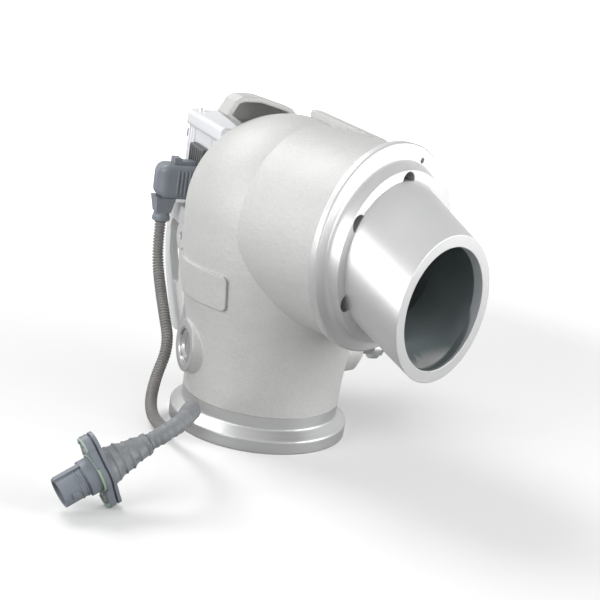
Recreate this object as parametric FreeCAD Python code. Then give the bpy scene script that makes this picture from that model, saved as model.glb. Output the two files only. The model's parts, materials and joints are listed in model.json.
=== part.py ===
import FreeCAD, Part
import math
import os
from FreeCAD import Vector

# Exhaust brake valve with an electric actuator, in millimetres.
# The origin is the centre of the outlet face, +Z runs up the cast leg and +X along the inlet.

# Running and assembly clearances
running_fit = 0.05
hole_clearance = 0.15
side_clearance = 0.3
plate_gap = 0.6

# Cast elbow
axis_height = 179.0
leg_bore_r = 56.0
bulb_r = 82.0
bulb_wall = 7.0
barrel_r = bulb_r - 3.0
barrel_wall = 7.0
barrel_end_x = 99.5

# Outlet collar for a profile clamp
rim_r = 75.0
rim_thickness = 10.6
clamp_cone_height = 6.4
neck_r = 66.0
neck_height = 10.2
seal_groove_r = 64.0
seal_groove_depth = 1.6

# Inlet flange and nozzle
flange_r = bulb_r + 0.8
flange_thickness = 6.0
nozzle_foot_r = bulb_r - 22.0
hub_r = nozzle_foot_r + 8.0
hub_height = 10.1
hub_fillet = 4.0
nozzle_foot_drop = 4.5
nozzle_end_r = nozzle_foot_r - 2.6
nozzle_end_drop = 30.5
nozzle_length = 51.5
nozzle_bore_r = nozzle_foot_r - 11.8
nozzle_land = 8.0
nozzle_spigot = 12.0
nozzle_spigot_wall = 5.5
bleed_hole_r = 7.0
bleed_hole_count = 6
locating_hole_r = 2.2
locating_hole_circle_r = hub_r + 5.0
locating_hole_angle = 68.0

# Direction in which the actuator stands out from the leg, seen from above
valve_azimuth = 154.0

# Valve shaft, its bosses and bushes
shaft_height = 66.0
shaft_r = 6.0
near_boss_r = 21.5
near_boss_face = bulb_r - 9.0
far_boss_r = 20.0
far_boss_face = bulb_r + 2.0
far_boss_tip_r = 13.0
bush_r = 9.5
near_bush_length = 10.0
far_bush_length = 16.0
plug_r = 15.0
plug_depth = 5.0
plug_thickness = 3.5
gland_r = 10.5
gland_length = 7.0
shaft_seal_width = 2.0
shaft_seal_count = 3

# Butterfly
disc_thickness = 3.8
disc_screw_r = 2.5
disc_screw_head_r = 4.5
disc_screw_head = 3.0
disc_screw_offset = 24.0

# Levers and link, which form a parallelogram
lever_length = 28.0
lever_thickness = 6.0
lever_hub_r = 10.0
lever_eye_r = 7.5
lever_face = far_boss_face + 12.0
lever_rest_angle = 4.5
lever_nut_r = 7.5
lever_nut_height = 5.0
link_pin_r = 4.0
link_pin_length = 17.5
link_shoulder = 2.5
link_shoulder_r = 6.0
locknut_r = 5.2
locknut_length = 4.0
locknut_gap = 6.0
link_eye_r = 8.0
link_thickness = 6.0
link_rod_r = 4.0
link_thread_r = 3.0
link_tube_r = 4.8
link_pin_play = 0.3
link_clip_r = 6.0
link_clip_thickness = 1.5
valve_travel = 88.0

# Actuator: places in the plane across the shafts, measured out from the leg axis and up
output_up = axis_height + 4.0
output_shaft_r = 5.0
gear_module = 1.0
sector_teeth_full = 48
sector_teeth_kept = 15
idler_small_teeth = 12
idler_large_teeth = 28
pinion_teeth = 10
idler_bearing_angle = 55.0
motor_bearing_angle = 150.0

# Actuator housing
housing_inner = bulb_r + 6.0
housing_outer = housing_inner + 58.0
gear_case_inner = housing_inner - 4.0
gear_case_outer = housing_outer + 4.0
output_out = housing_inner + 24.0
housing_bottom = axis_height - 20.0
housing_top = axis_height + 58.0
housing_wall = 4.0
housing_front = 41.0
gear_wall_face = 44.0
sector_place = 54.0
sector_width = 6.0
sector_hub_r = 9.0
sector_hub_stand = 1.0
sector_hole_r = 2.2
sector_hole_reach = 15.0
small_gear_place = 51.0
small_gear_width = 9.5
large_gear_place = 46.0
large_gear_width = 5.0
pinion_place = 45.5
pinion_width = 6.5
idler_pin_r = 3.0
cover_seat = 66.0
cover_thickness = 4.0
motor_room_floor = housing_bottom + 14.0
corner_r = 9.0
cover_boss_r = 15.0
cover_boss_height = 6.0
bearing_r = 10.0
bearing_width = 4.0
cover_screw_r = 2.0
cover_screw_head_r = 3.8
cover_screw_head = 3.0
cover_screw_reach = 12.0

# Motor
motor_r = 15.0
motor_wall = 1.5
motor_end_wall = 2.0
motor_length = 68.0
magnet_thickness = 2.4
rotor_r = 9.8
rotor_length = 46.0
motor_shaft_r = 2.0
commutator_r = 5.0
commutator_length = 7.0

# Return spring, a flat spiral round the output shaft
spring_turns = 3
spring_inner_r = 7.0
spring_pitch = 1.9
spring_strip = 0.8
spring_width = 6.5

# Electronics
board_thickness = 1.6
board_gap = 6.5
magnet_r = 4.0
magnet_height = 2.0
standoff_r = 3.0

# Actuator bracket
foot_face = 76.0
foot_thickness = 8.0
foot_bottom = 54.0
foot_top = 104.0
arm_inner_face = 48.0
arm_thickness = 8.0
bracket_top_thickness = 6.0
ear_out = housing_inner - 2.0
ear_up = housing_bottom - 23.0
ear_r = 12.0
ear_stand = 2.0
ear_hole_r = 3.4
foot_bolt_side = 30.0
foot_bolt_low = 64.0
foot_bolt_high = 94.0
foot_pad_r = 10.0
foot_bolt_r = 4.0
foot_bolt_reach = 14.0
bolt_head_r = 6.5
bolt_head_height = 5.0
case_bolt_r = 3.0
case_bolt_side = 30.0
case_bolt_reach = 9.0
case_bolt_head_r = 5.0
case_bolt_head = 4.0

# Upper lug: an open hood on the bulb, and a shelf that carries the actuator's top plate
hood_front = 26.0
hood_depth = 24.0
hood_wall = 4.0
shelf_start = bulb_r - 34.0
shelf_end = bulb_r + 5.0
top_plate_thickness = 14.0
shelf_height = housing_top - top_plate_thickness
shelf_half_width = 24.0
top_plate_start = shelf_start + 6.0
top_plate_end = housing_outer + 3.0
top_plate_far = 22.0
top_plate_near = 45.0
top_plate_edge_r = 4.0
top_plate_gap = 1.5
tab_bolt_side = 13.0
tab_bolt_out = shelf_end - 8.0
tab_bolt_reach = 12.0

# Cast rib along the top of the barrel
rib_side = 18.0
rib_width = 8.0
rib_start = -1.0
rib_peak = 5.0
rib_end = 72.0
rib_peak_height = axis_height + 86.2
rib_end_height = axis_height + 77.0
rib_root = 16.0

# Cast pad on the leg, left bare
pad_start = -126.0
pad_sweep = 49.0
pad_bottom = 110.0
pad_top = 139.0
pad_height = 2.6
pad_corner_r = 5.0

# Actuator socket and harness plug
socket_out = housing_inner + 18.0
socket_up = axis_height + 1.0
socket_flange_width = 38.0
socket_flange_below = 18.0
socket_flange_above = 32.0
socket_flange_thickness = 3.0
socket_width = 21.0
socket_wall = 1.6
socket_depth = 12.0
contact_r = 0.9
contact_count = 5
contact_pitch = 3.2
plug_width = 24.0
plug_height = 30.0
plug_reach = 36.0
plug_limb = 18.0
plug_neck_r = 6.8
plug_exit_up = socket_up - 36.0

# Harness: conduit, sleeve and the flanged connector at its end
conduit_r = 5.0
sleeve_r = 6.3
plate_length = 60.0
plate_thickness = 9.0
plate_hole_r = 3.2
plate_end_r = 8.7
plate_slot_depth = 2.0
plate_slot_width = 1.6
plate_back_layer = 2.4
backshell_length = 34.0
backshell_r = 14.0
backshell_end_r = 8.3
nose_r = 11.0
nose_length = 27.5
nose_wall = 1.8
nose_web = 9.0
nose_collar_r = 13.0
nose_collar_length = 8.0
pin_recess = 10.5
seal_width = 2.4
seal_thickness = 1.6
seal_stand = 0.6
connector_heading = -106.0
connector_tilt = 26.0
connector_place = Vector(62.3, -227.6, 29.1)

rise_to_link = Vector(output_out, 0, output_up - shaft_height)


def valve_side(shape):
    """Turn a shape from the valve's own directions (out, along the shaft, up) to the part's."""
    shape.rotate(Vector(0, 0, 0), Vector(0, 0, 1), valve_azimuth)
    return shape


def block(low, high):
    size = [b - a for a, b in zip(low, high)]
    return Part.makeBox(size[0], size[1], size[2], Vector(*low))


def along_shaft(out, up, radius, start, end):
    """A cylinder parallel to the shafts, between two places along them."""
    return Part.makeCylinder(radius, end - start, Vector(out, start, up), Vector(0, 1, 0))


def ring_along_shaft(out, up, outer_r, inner_r, start, end):
    return along_shaft(out, up, outer_r, start, end).cut(along_shaft(out, up, inner_r, start, end))


def outline_face(points):
    return Part.Face(Part.makePolygon(points + [points[0]]))


def circle_wire(centre, axis, radius):
    return Part.Wire(Part.makeCircle(radius, centre, axis))


def rounded_slab(low, high, radius):
    """A block whose four edges along the shafts are rounded."""
    slab = block(low, high)
    edges = [e for e in slab.Edges if abs(e.tangentAt(e.FirstParameter).y) > 0.9]
    return slab.makeFillet(radius, edges)


def turned(points_curves):
    """A solid of revolution about Z from a closed list of edges."""
    wire = Part.Wire(Part.__sortEdges__(points_curves))
    return Part.Face(wire).revolve(Vector(0, 0, 0), Vector(0, 0, 1), 360)


def leg_curve(start_r, start_z, end_r):
    """The leg's side, upright at the collar and again where it meets the bulb."""
    curve = Part.BezierCurve()
    rise = axis_height - start_z
    curve.setPoles([
        Vector(start_r, 0, start_z),
        Vector(start_r, 0, start_z + 0.42 * rise),
        Vector(end_r, 0, start_z + 0.62 * rise),
        Vector(end_r, 0, axis_height),
    ])
    return curve


def leg_outer_r(z):
    """Outer radius of the leg at a height between the collar and the bulb."""
    curve = leg_curve(neck_r, collar_top, bulb_r)
    low, high = 0.0, 1.0
    for _ in range(40):
        middle = (low + high) / 2
        if curve.value(middle).z < z:
            low = middle
        else:
            high = middle
    return curve.value(low).x


collar_top = rim_thickness + clamp_cone_height + neck_height
hub_end_x = barrel_end_x + flange_thickness + hub_height
foot_z = axis_height - nozzle_foot_drop
nozzle_end_x = hub_end_x + nozzle_length
nozzle_end_z = axis_height - nozzle_end_drop


def elbow_outside():
    dome = Part.Arc(
        Vector(bulb_r, 0, axis_height),
        Vector(bulb_r * math.cos(math.radians(45)), 0, axis_height + bulb_r * math.sin(math.radians(45))),
        Vector(0, 0, axis_height + bulb_r),
    )
    cone_z = rim_thickness + clamp_cone_height
    corners = [
        Vector(0, 0, 0),
        Vector(rim_r, 0, 0),
        Vector(rim_r, 0, rim_thickness),
        Vector(neck_r, 0, cone_z),
        Vector(neck_r, 0, collar_top),
    ]
    edges = [Part.makeLine(a, b) for a, b in zip(corners, corners[1:])]
    edges.append(leg_curve(neck_r, collar_top, bulb_r).toShape())
    edges.append(dome.toShape())
    edges.append(Part.makeLine(Vector(0, 0, axis_height + bulb_r), Vector(0, 0, 0)))
    barrel = Part.makeCylinder(barrel_r, barrel_end_x, Vector(0, 0, axis_height), Vector(1, 0, 0))
    return turned(edges).fuse(barrel)


def gas_passage():
    inner_r = bulb_r - bulb_wall
    dome = Part.Arc(
        Vector(inner_r, 0, axis_height),
        Vector(inner_r * math.cos(math.radians(45)), 0, axis_height + inner_r * math.sin(math.radians(45))),
        Vector(0, 0, axis_height + inner_r),
    )
    bore_top = 2 * shaft_height
    edges = [
        Part.makeLine(Vector(0, 0, -1), Vector(leg_bore_r, 0, -1)),
        Part.makeLine(Vector(leg_bore_r, 0, -1), Vector(leg_bore_r, 0, bore_top)),
        leg_curve(leg_bore_r, bore_top, inner_r).toShape(),
        dome.toShape(),
        Part.makeLine(Vector(0, 0, axis_height + inner_r), Vector(0, 0, -1)),
    ]
    barrel_bore_r = barrel_r - barrel_wall
    barrel = Part.makeCylinder(barrel_bore_r, barrel_end_x + 1, Vector(0, 0, axis_height), Vector(1, 0, 0))
    return turned(edges).fuse(barrel)


def shaft_bosses():
    root = 40.0
    swell = 1.3
    near = Part.makeCone(near_boss_r * swell, near_boss_r, near_boss_face - root,
                         Vector(0, root, shaft_height), Vector(0, 1, 0))
    body_face = far_boss_face - 6.0
    far = Part.makeCone(far_boss_r * swell, far_boss_r, body_face - root,
                        Vector(0, -root, shaft_height), Vector(0, -1, 0))
    tip = Part.makeCone(far_boss_r, far_boss_tip_r, far_boss_face - body_face,
                        Vector(0, -body_face, shaft_height), Vector(0, -1, 0))
    return near.fuse([far, tip])


def foot_bolt_places():
    return [(side, up) for side in (-foot_bolt_side, foot_bolt_side) for up in (foot_bolt_low, foot_bolt_high)]


def foot_pads():
    pads = []
    for side, up in foot_bolt_places():
        pads.append(Part.makeCylinder(foot_pad_r, foot_face - 50, Vector(50, side, up), Vector(1, 0, 0)))
    return pads[0].fuse(pads[1:])


def lug_hood():
    """A hood that stands on the bulb, and the pocket that leaves its inlet side open."""
    outline = [(52, 73), (46, 85), (40, 89), (24, 89.5), (-4, 83), (-14, 73), (-14, 46), (28, 46), (30, 59)]
    pocket = [(47.5, 73.5), (42.5, 83), (38, 85), (24, 85.5), (0, 80), (-6, 73), (-6, 51), (24, 51), (29, 63)]
    shell = outline_face([Vector(hood_front, side, axis_height + rise) for side, rise in outline])
    shell = shell.extrude(Vector(hood_depth, 0, 0))
    hollow = outline_face([Vector(hood_front - 1, side, axis_height + rise) for side, rise in pocket])
    return shell, hollow.extrude(Vector(hood_depth - hood_wall + 1, 0, 0))


def lug_shelf():
    """A shelf on the bulb with a sloping underside."""
    shelf = block((shelf_start, -shelf_half_width, shelf_height - 36), (shelf_end, shelf_half_width, shelf_height))
    corner = Vector(shelf_end, 0, shelf_height - 14)
    slope = block((shelf_end - 30, -shelf_half_width - 1, shelf_height - 70),
                  (shelf_end + 30, shelf_half_width + 1, corner.z))
    slope.rotate(corner, Vector(0, 1, 0), 35)
    return shelf.cut(slope)


def barrel_rib():
    """Cast rib that starts in a nub on the bulb and runs out along the barrel's top."""
    near_side = rib_side - rib_width / 2
    return outline_face([
        Vector(rib_start, near_side, rib_peak_height - rib_root),
        Vector(rib_start, near_side, rib_peak_height),
        Vector(rib_peak, near_side, rib_peak_height),
        Vector(rib_end, near_side, rib_end_height),
        Vector(rib_end, near_side, rib_peak_height - rib_root - 3.2),
    ]).extrude(Vector(0, rib_width, 0))


def name_pad():
    """Raised pad that follows the leg's side."""
    inner = leg_outer_r(pad_bottom) - 6
    profile = outline_face([
        Vector(inner, 0, pad_bottom),
        Vector(leg_outer_r(pad_bottom) + pad_height, 0, pad_bottom),
        Vector(leg_outer_r(pad_top) + pad_height, 0, pad_top),
        Vector(inner, 0, pad_top),
    ])
    profile.rotate(Vector(0, 0, 0), Vector(0, 0, 1), pad_start)
    pad = profile.revolve(Vector(0, 0, 0), Vector(0, 0, 1), pad_sweep)
    corner_edges = []
    for edge in pad.Edges:
        ends = [v.Point for v in edge.Vertexes]
        if len(ends) == 2:
            radii = [math.hypot(p.x, p.y) for p in ends]
            if abs(radii[0] - radii[1]) > 5 and abs(ends[0].z - ends[1].z) < 0.01:
                corner_edges.append(edge)
    return pad.makeFillet(pad_corner_r, corner_edges)


def tab_bolt_places():
    return [(tab_bolt_out, -tab_bolt_side), (tab_bolt_out, tab_bolt_side)]


def shaft_bores():
    """Bores for the shaft, its bushes, the plug and the gland, along the shaft axis."""
    through = along_shaft(0, shaft_height, shaft_r + hole_clearance, -far_boss_face - 1, near_boss_face + 1)
    near_bush = along_shaft(0, shaft_height, bush_r, near_bush_start, near_bush_start + near_bush_length)
    counterbore = along_shaft(0, shaft_height, plug_r, near_boss_face - plug_depth, near_boss_face + 1)
    far_bush = along_shaft(0, shaft_height, bush_r, far_bush_start, far_bush_start + far_bush_length)
    gland = along_shaft(0, shaft_height, gland_r, -far_boss_face - 1, -far_boss_face + gland_length)
    return through.fuse([near_bush, counterbore, far_bush, gland])


near_bush_start = near_boss_face - plug_depth - near_bush_length
far_bush_start = -far_boss_face + gland_length


def elbow_housing():
    body = elbow_outside()
    shell, hollow = lug_hood()
    additions = [valve_side(s) for s in (shaft_bosses(), foot_pads(), shell, lug_shelf())]
    body = body.fuse(additions + [barrel_rib(), name_pad()])
    bulb = Part.makeSphere(bulb_r, Vector(0, 0, axis_height))
    body = body.cut(valve_side(hollow).cut(bulb))
    body = body.cut(gas_passage())
    body = body.cut(valve_side(shaft_bores()))
    for side, up in foot_bolt_places():
        reach = Vector(foot_face - foot_bolt_reach - 1, side, up)
        hole = Part.makeCylinder(foot_bolt_r + hole_clearance, foot_bolt_reach + 2, reach, Vector(1, 0, 0))
        body = body.cut(valve_side(hole))
    for out, side in tab_bolt_places():
        hole = Part.makeCylinder(case_bolt_r + hole_clearance, tab_bolt_reach + 2,
                                 Vector(out, side, shelf_height - tab_bolt_reach - 1))
        body = body.cut(valve_side(hole))
    groove = Part.makeCylinder(seal_groove_r + 2, seal_groove_depth).cut(
        Part.makeCylinder(seal_groove_r - 2, seal_groove_depth))
    return body.cut(groove).removeSplitter()


def inlet_flange():
    disc = Part.makeCylinder(flange_r, flange_thickness, Vector(barrel_end_x, 0, axis_height), Vector(1, 0, 0))
    x_axis = Vector(1, 0, 0)
    foot = circle_wire(Vector(barrel_end_x + flange_thickness, 0, axis_height - 1), x_axis, hub_r + 2)
    top = circle_wire(Vector(hub_end_x, 0, foot_z), x_axis, hub_r)
    hub = Part.makeLoft([foot, top], True, True)
    piece = disc.fuse(hub)
    rim_edges = []
    for edge in piece.Edges:
        box = edge.BoundBox
        if abs(box.XMin - barrel_end_x - flange_thickness) < 0.01 and box.XLength < 0.01:
            rim_edges.append(edge)
    inner = [e for e in rim_edges if e.BoundBox.ZLength < 2 * flange_r - 1]
    outer = [e for e in rim_edges if e not in inner]
    piece = piece.makeFillet(hub_fillet, inner)
    outer = [e for e in piece.Edges
             if abs(e.BoundBox.ZLength - 2 * flange_r) < 0.01 and abs(e.BoundBox.XMin - barrel_end_x) > 1]
    piece = piece.makeChamfer(1.2, outer)
    bore = Part.makeCylinder(nozzle_foot_r, flange_thickness + hub_height + 2,
                             Vector(barrel_end_x - 1, 0, foot_z), x_axis)
    piece = piece.cut(bore)
    for index in range(bleed_hole_count):
        angle = math.radians(90 + index * 360 / bleed_hole_count)
        place = Vector(barrel_end_x - 1, nozzle_foot_r * math.cos(angle), foot_z + nozzle_foot_r * math.sin(angle))
        piece = piece.cut(Part.makeCylinder(bleed_hole_r, flange_thickness + hub_height + 2, place, x_axis))
    angle = math.radians(locating_hole_angle)
    place = Vector(barrel_end_x + flange_thickness - 4, locating_hole_circle_r * math.cos(angle),
                   axis_height + locating_hole_circle_r * math.sin(angle))
    return piece.cut(Part.makeCylinder(locating_hole_r, 5, place, x_axis))


def inlet_nozzle():
    x_axis = Vector(1, 0, 0)
    start_x = hub_end_x - nozzle_spigot
    spigot = Part.makeCylinder(nozzle_foot_r, nozzle_spigot, Vector(start_x, 0, foot_z), x_axis)
    foot = circle_wire(Vector(hub_end_x, 0, foot_z), x_axis, nozzle_foot_r)
    mouth = circle_wire(Vector(nozzle_end_x, 0, nozzle_end_z), x_axis, nozzle_end_r)
    outside = spigot.fuse(Part.makeLoft([foot, mouth], True, True))
    land_x = nozzle_end_x - nozzle_land
    land = Part.makeCylinder(nozzle_bore_r, nozzle_land + 1, Vector(land_x, 0, nozzle_end_z), x_axis)
    inner_start = circle_wire(Vector(start_x - 1, 0, foot_z), x_axis, nozzle_foot_r - nozzle_spigot_wall)
    inner_waist = circle_wire(Vector(hub_end_x, 0, foot_z), x_axis, nozzle_foot_r - nozzle_spigot_wall)
    inner_mouth = circle_wire(Vector(land_x, 0, nozzle_end_z), x_axis, nozzle_bore_r)
    inside = Part.makeLoft([inner_start, inner_waist], True, True).fuse([
        Part.makeLoft([inner_waist, inner_mouth], True, True),
        land,
    ])
    return outside.cut(inside)


def shaft_bush(start, length):
    return ring_along_shaft(0, shaft_height, bush_r, shaft_r + running_fit, start, start + length)


def shaft_plug():
    start = near_boss_face - plug_depth
    cup = along_shaft(0, shaft_height, plug_r, start, start + plug_thickness)
    recess = Part.makeCone(plug_r * 0.55, plug_r * 0.7, plug_thickness * 0.5,
                           Vector(0, start + plug_thickness * 0.5, shaft_height), Vector(0, 1, 0))
    return cup.cut(recess)


def shaft_seals():
    rings = []
    pitch = gland_length / shaft_seal_count
    for index in range(shaft_seal_count):
        start = -far_boss_face + index * pitch + 0.1
        rings.append(ring_along_shaft(0, shaft_height, gland_r, shaft_r + running_fit, start, start + shaft_seal_width))
    return Part.makeCompound(rings)


def disc_screw_places():
    return [-disc_screw_offset, disc_screw_offset]


def across_disc(side, radius, start, end):
    return Part.makeCylinder(radius, end - start, Vector(start, side, shaft_height), Vector(1, 0, 0))


def butterfly_disc():
    radius = leg_bore_r - plate_gap
    disc = Part.makeCylinder(radius, disc_thickness, Vector(-disc_thickness / 2, 0, shaft_height), Vector(1, 0, 0))
    for side in disc_screw_places():
        disc = disc.cut(across_disc(side, disc_screw_r + hole_clearance, -shaft_r, shaft_r))
    return disc


def valve_shaft():
    start = -lever_face - lever_thickness - lever_nut_height - 1
    shaft = along_shaft(0, shaft_height, shaft_r, -lever_face, near_bush_start + near_bush_length - side_clearance)
    tail = along_shaft(0, shaft_height, shaft_r - 1, start, -lever_face)
    shaft = shaft.fuse(tail)
    half = disc_thickness / 2 + running_fit
    reach = leg_bore_r - side_clearance
    shaft = shaft.cut(block((-half, -reach, shaft_height - shaft_r), (half, reach, shaft_height + shaft_r)))
    for side in disc_screw_places():
        shaft = shaft.cut(across_disc(side, disc_screw_r + hole_clearance, -shaft_r, shaft_r))
        shaft = shaft.cut(across_disc(side, disc_screw_head_r + hole_clearance, shaft_r - 1.0, shaft_r))
    return shaft


def disc_screws():
    screws = []
    for side in disc_screw_places():
        shank = across_disc(side, disc_screw_r, -shaft_r, shaft_r - 1.0)
        head = across_disc(side, disc_screw_head_r, shaft_r - 1.0, shaft_r - 1.0 + disc_screw_head)
        screws.append(shank.fuse(head))
    return Part.makeCompound(screws)


def lever(out, up, bore_r):
    """A lever that points along its rest angle, with a hub, a tapered arm and an eye."""
    angle = math.radians(lever_rest_angle)
    tip_out = out + lever_length * math.cos(angle)
    tip_up = up + lever_length * math.sin(angle)
    start, end = -lever_face - lever_thickness, -lever_face
    hub = along_shaft(out, up, lever_hub_r, start, end)
    eye = along_shaft(tip_out, tip_up, lever_eye_r, start, end)
    side = Vector(-math.sin(angle), 0, math.cos(angle))
    centre = Vector(out, start, up)
    tip = Vector(tip_out, start, tip_up)
    web = outline_face([
        centre + side * lever_hub_r * 0.85,
        tip + side * lever_eye_r * 0.85,
        tip - side * lever_eye_r * 0.85,
        centre - side * lever_hub_r * 0.85,
    ]).extrude(Vector(0, lever_thickness, 0))
    arm = hub.fuse([eye, web])
    bore = along_shaft(out, up, bore_r, start - 1, end + 1)
    pin_hole = along_shaft(tip_out, tip_up, link_pin_r, start - 1, end + 1)
    return arm.cut(bore).cut(pin_hole).removeSplitter()


def nut(out, up, radius, bore_r, start, height):
    points = []
    for index in range(6):
        angle = math.radians(60 * index)
        points.append(Vector(out + radius * math.cos(angle), start, up + radius * math.sin(angle)))
    body = outline_face(points).extrude(Vector(0, height, 0))
    return body.cut(along_shaft(out, up, bore_r, start - 1, start + height + 1))


def lever_nut(out, up, bore_r):
    start = -lever_face - lever_thickness - lever_nut_height
    return nut(out, up, lever_nut_r, bore_r, start, lever_nut_height)


def lever_tip(out, up):
    angle = math.radians(lever_rest_angle)
    return out + lever_length * math.cos(angle), up + lever_length * math.sin(angle)


link_face = -lever_face - lever_thickness - link_shoulder


def link_pin(out, up):
    """A shouldered pin pressed into the lever's eye."""
    tip_out, tip_up = lever_tip(out, up)
    end = -lever_face
    pin = along_shaft(tip_out, tip_up, link_pin_r, end - link_pin_length, end)
    shoulder = along_shaft(tip_out, tip_up, link_shoulder_r, link_face, -lever_face - lever_thickness)
    return pin.fuse(shoulder)


def link_clip(out, up):
    tip_out, tip_up = lever_tip(out, up)
    end = link_face - link_thickness - 2 * side_clearance
    return ring_along_shaft(tip_out, tip_up, link_clip_r, link_pin_r, end - link_clip_thickness, end)


def link_direction():
    direction = Vector(rise_to_link)
    direction.normalize()
    return direction


def link_eye(out, up, sign):
    """A rod end: a ring with a threaded stub that takes the rod."""
    tip_out, tip_up = lever_tip(out, up)
    end = link_face - side_clearance
    start = end - link_thickness
    ring = along_shaft(tip_out, tip_up, link_eye_r, start, end)
    centre = Vector(tip_out, (start + end) / 2, tip_up)
    direction = link_direction() * sign
    stub = Part.makeCylinder(link_thread_r, link_eye_r + 14, centre, direction)
    collar_start = link_clip_r + 2 * side_clearance
    collar_length = link_eye_r + locknut_gap - collar_start
    collar = Part.makeCylinder(link_rod_r, collar_length, centre + direction * collar_start, direction)
    body = ring.fuse([stub, collar])
    return body.cut(along_shaft(tip_out, tip_up, link_pin_r + link_pin_play, start - 1, end + 1))


def link_middle(out, up):
    tip_out, tip_up = lever_tip(out, up)
    return Vector(tip_out, link_face - side_clearance - link_thickness / 2, tip_up)


def link_rod():
    low = link_middle(0, shaft_height)
    direction = link_direction()
    inset = link_eye_r + locknut_gap + locknut_length
    length = rise_to_link.Length - 2 * inset
    rod = Part.makeCylinder(link_tube_r, length, low + direction * inset, direction)
    hole = Part.makeCylinder(link_thread_r, length + 2, low + direction * (inset - 1), direction)
    return rod.cut(hole)


def link_locknuts():
    direction = link_direction()
    nuts = []
    low = link_middle(0, shaft_height)
    inset = link_eye_r + locknut_gap
    for along in (inset, rise_to_link.Length - inset - locknut_length):
        body = Part.makeCylinder(locknut_r, locknut_length, low + direction * along, direction)
        hole = Part.makeCylinder(link_thread_r, locknut_length + 2, low + direction * (along - 1), direction)
        nuts.append(body.cut(hole))
    return Part.makeCompound(nuts)


idler_distance = gear_module * (sector_teeth_full + idler_small_teeth) / 2
motor_distance = gear_module * (idler_large_teeth + pinion_teeth) / 2
idler_out = output_out + idler_distance * math.cos(math.radians(idler_bearing_angle))
idler_up = output_up + idler_distance * math.sin(math.radians(idler_bearing_angle))
motor_out = idler_out + motor_distance * math.cos(math.radians(motor_bearing_angle))
motor_up = idler_up + motor_distance * math.sin(math.radians(motor_bearing_angle))


def gear(out, up, teeth, kept, first_angle, start, end):
    """Spur gear, or a sector of one, with straight-sided teeth and some backlash."""
    pitch_r = gear_module * teeth / 2
    root_r = pitch_r - 1.15 * gear_module
    tip_r = pitch_r + 0.8 * gear_module
    step = 2 * math.pi / teeth
    body = along_shaft(out, up, root_r, start, end)
    solids = []
    for index in range(kept):
        middle = math.radians(first_angle) + index * step
        points = []
        for radius, share in ((root_r - 0.4, 0.52), (tip_r, 0.22)):
            points.append((radius, middle - share * step / 2))
            points.insert(0, (radius, middle + share * step / 2))
        corners = [Vector(out + r * math.cos(a), start, up + r * math.sin(a)) for r, a in points]
        solids.append(outline_face(corners).extrude(Vector(0, end - start, 0)))
    return body, solids


def sector_gear():
    span = 360.0 / sector_teeth_full
    middle = idler_bearing_angle + valve_travel / 2
    first = middle - span * (sector_teeth_kept - 1) / 2
    start, end = -sector_place - sector_width, -sector_place
    body, teeth = gear(output_out, output_up, sector_teeth_full, sector_teeth_kept, first, start, end)
    half = math.radians(span * sector_teeth_kept / 2)
    reach = 2 * sector_teeth_full * gear_module
    points = [Vector(output_out, start - 1, output_up)]
    for share in (-1.0, -0.5, 0.0, 0.5, 1.0):
        angle = math.radians(middle) + share * half
        points.append(Vector(output_out + reach * math.cos(angle), start - 1, output_up + reach * math.sin(angle)))
    wedge = outline_face(points).extrude(Vector(0, end - start + 2, 0))
    hub = along_shaft(output_out, output_up, sector_hub_r, start - sector_hub_stand, end + sector_hub_stand)
    blade = body.common(wedge).fuse(teeth).fuse(hub)
    for share in (-0.5, 0.5):
        angle = math.radians(middle) + share * half
        hole_out = output_out + sector_hole_reach * math.cos(angle)
        hole_up = output_up + sector_hole_reach * math.sin(angle)
        blade = blade.cut(along_shaft(hole_out, hole_up, sector_hole_r, start - 1, end + 1))
    return blade.cut(along_shaft(output_out, output_up, output_shaft_r, start - 2, end + 2)).removeSplitter()


def facing_tooth_gap(teeth, direction):
    """Angle of a gear's first tooth so that a gap faces the given direction."""
    return direction + 180.0 / teeth


def idler_gear():
    small_first = facing_tooth_gap(idler_small_teeth, idler_bearing_angle + 180)
    middle = idler_bearing_angle + valve_travel / 2
    span = 360.0 / sector_teeth_full
    offset = (middle - span * (sector_teeth_kept - 1) / 2 - idler_bearing_angle) % span
    small_first -= offset * sector_teeth_full / idler_small_teeth
    small, small_teeth = gear(idler_out, idler_up, idler_small_teeth, idler_small_teeth, small_first,
                              -small_gear_place - small_gear_width, -small_gear_place)
    large_first = motor_bearing_angle
    large, large_teeth = gear(idler_out, idler_up, idler_large_teeth, idler_large_teeth, large_first,
                              -large_gear_place - large_gear_width, -large_gear_place)
    body = small.fuse(small_teeth).fuse(large).fuse(large_teeth)
    bore = along_shaft(idler_out, idler_up, idler_pin_r + running_fit, -cover_seat, -gear_wall_face)
    return body.cut(bore).removeSplitter()


def idler_pin():
    return along_shaft(idler_out, idler_up, idler_pin_r, -cover_seat, -gear_wall_face)


def motor_pinion():
    first = facing_tooth_gap(pinion_teeth, motor_bearing_angle + 180)
    start, end = -pinion_place - pinion_width, -pinion_place
    body, teeth = gear(motor_out, motor_up, pinion_teeth, pinion_teeth, first, start, end)
    return body.fuse(teeth).cut(along_shaft(motor_out, motor_up, motor_shaft_r, start - 1, end + 1)).removeSplitter()


room_face = -gear_wall_face + housing_wall


def motor_can():
    start, end = room_face, room_face + motor_length
    can = along_shaft(motor_out, motor_up, motor_r, start, end)
    room = along_shaft(motor_out, motor_up, motor_r - motor_wall, start + motor_end_wall, end - motor_end_wall)
    bore = along_shaft(motor_out, motor_up, motor_shaft_r + running_fit, start - 1, end + 1)
    return can.cut(room).cut(bore)


def motor_magnets():
    outer = motor_r - motor_wall - 0.1
    start = room_face + motor_end_wall + 3
    end = room_face + motor_length - motor_end_wall - 6
    ring = ring_along_shaft(motor_out, motor_up, outer, outer - magnet_thickness, start, end)
    gap = block((motor_out - 5, start - 1, motor_up - motor_r), (motor_out + 5, end + 1, motor_up + motor_r))
    return ring.cut(gap)


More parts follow.
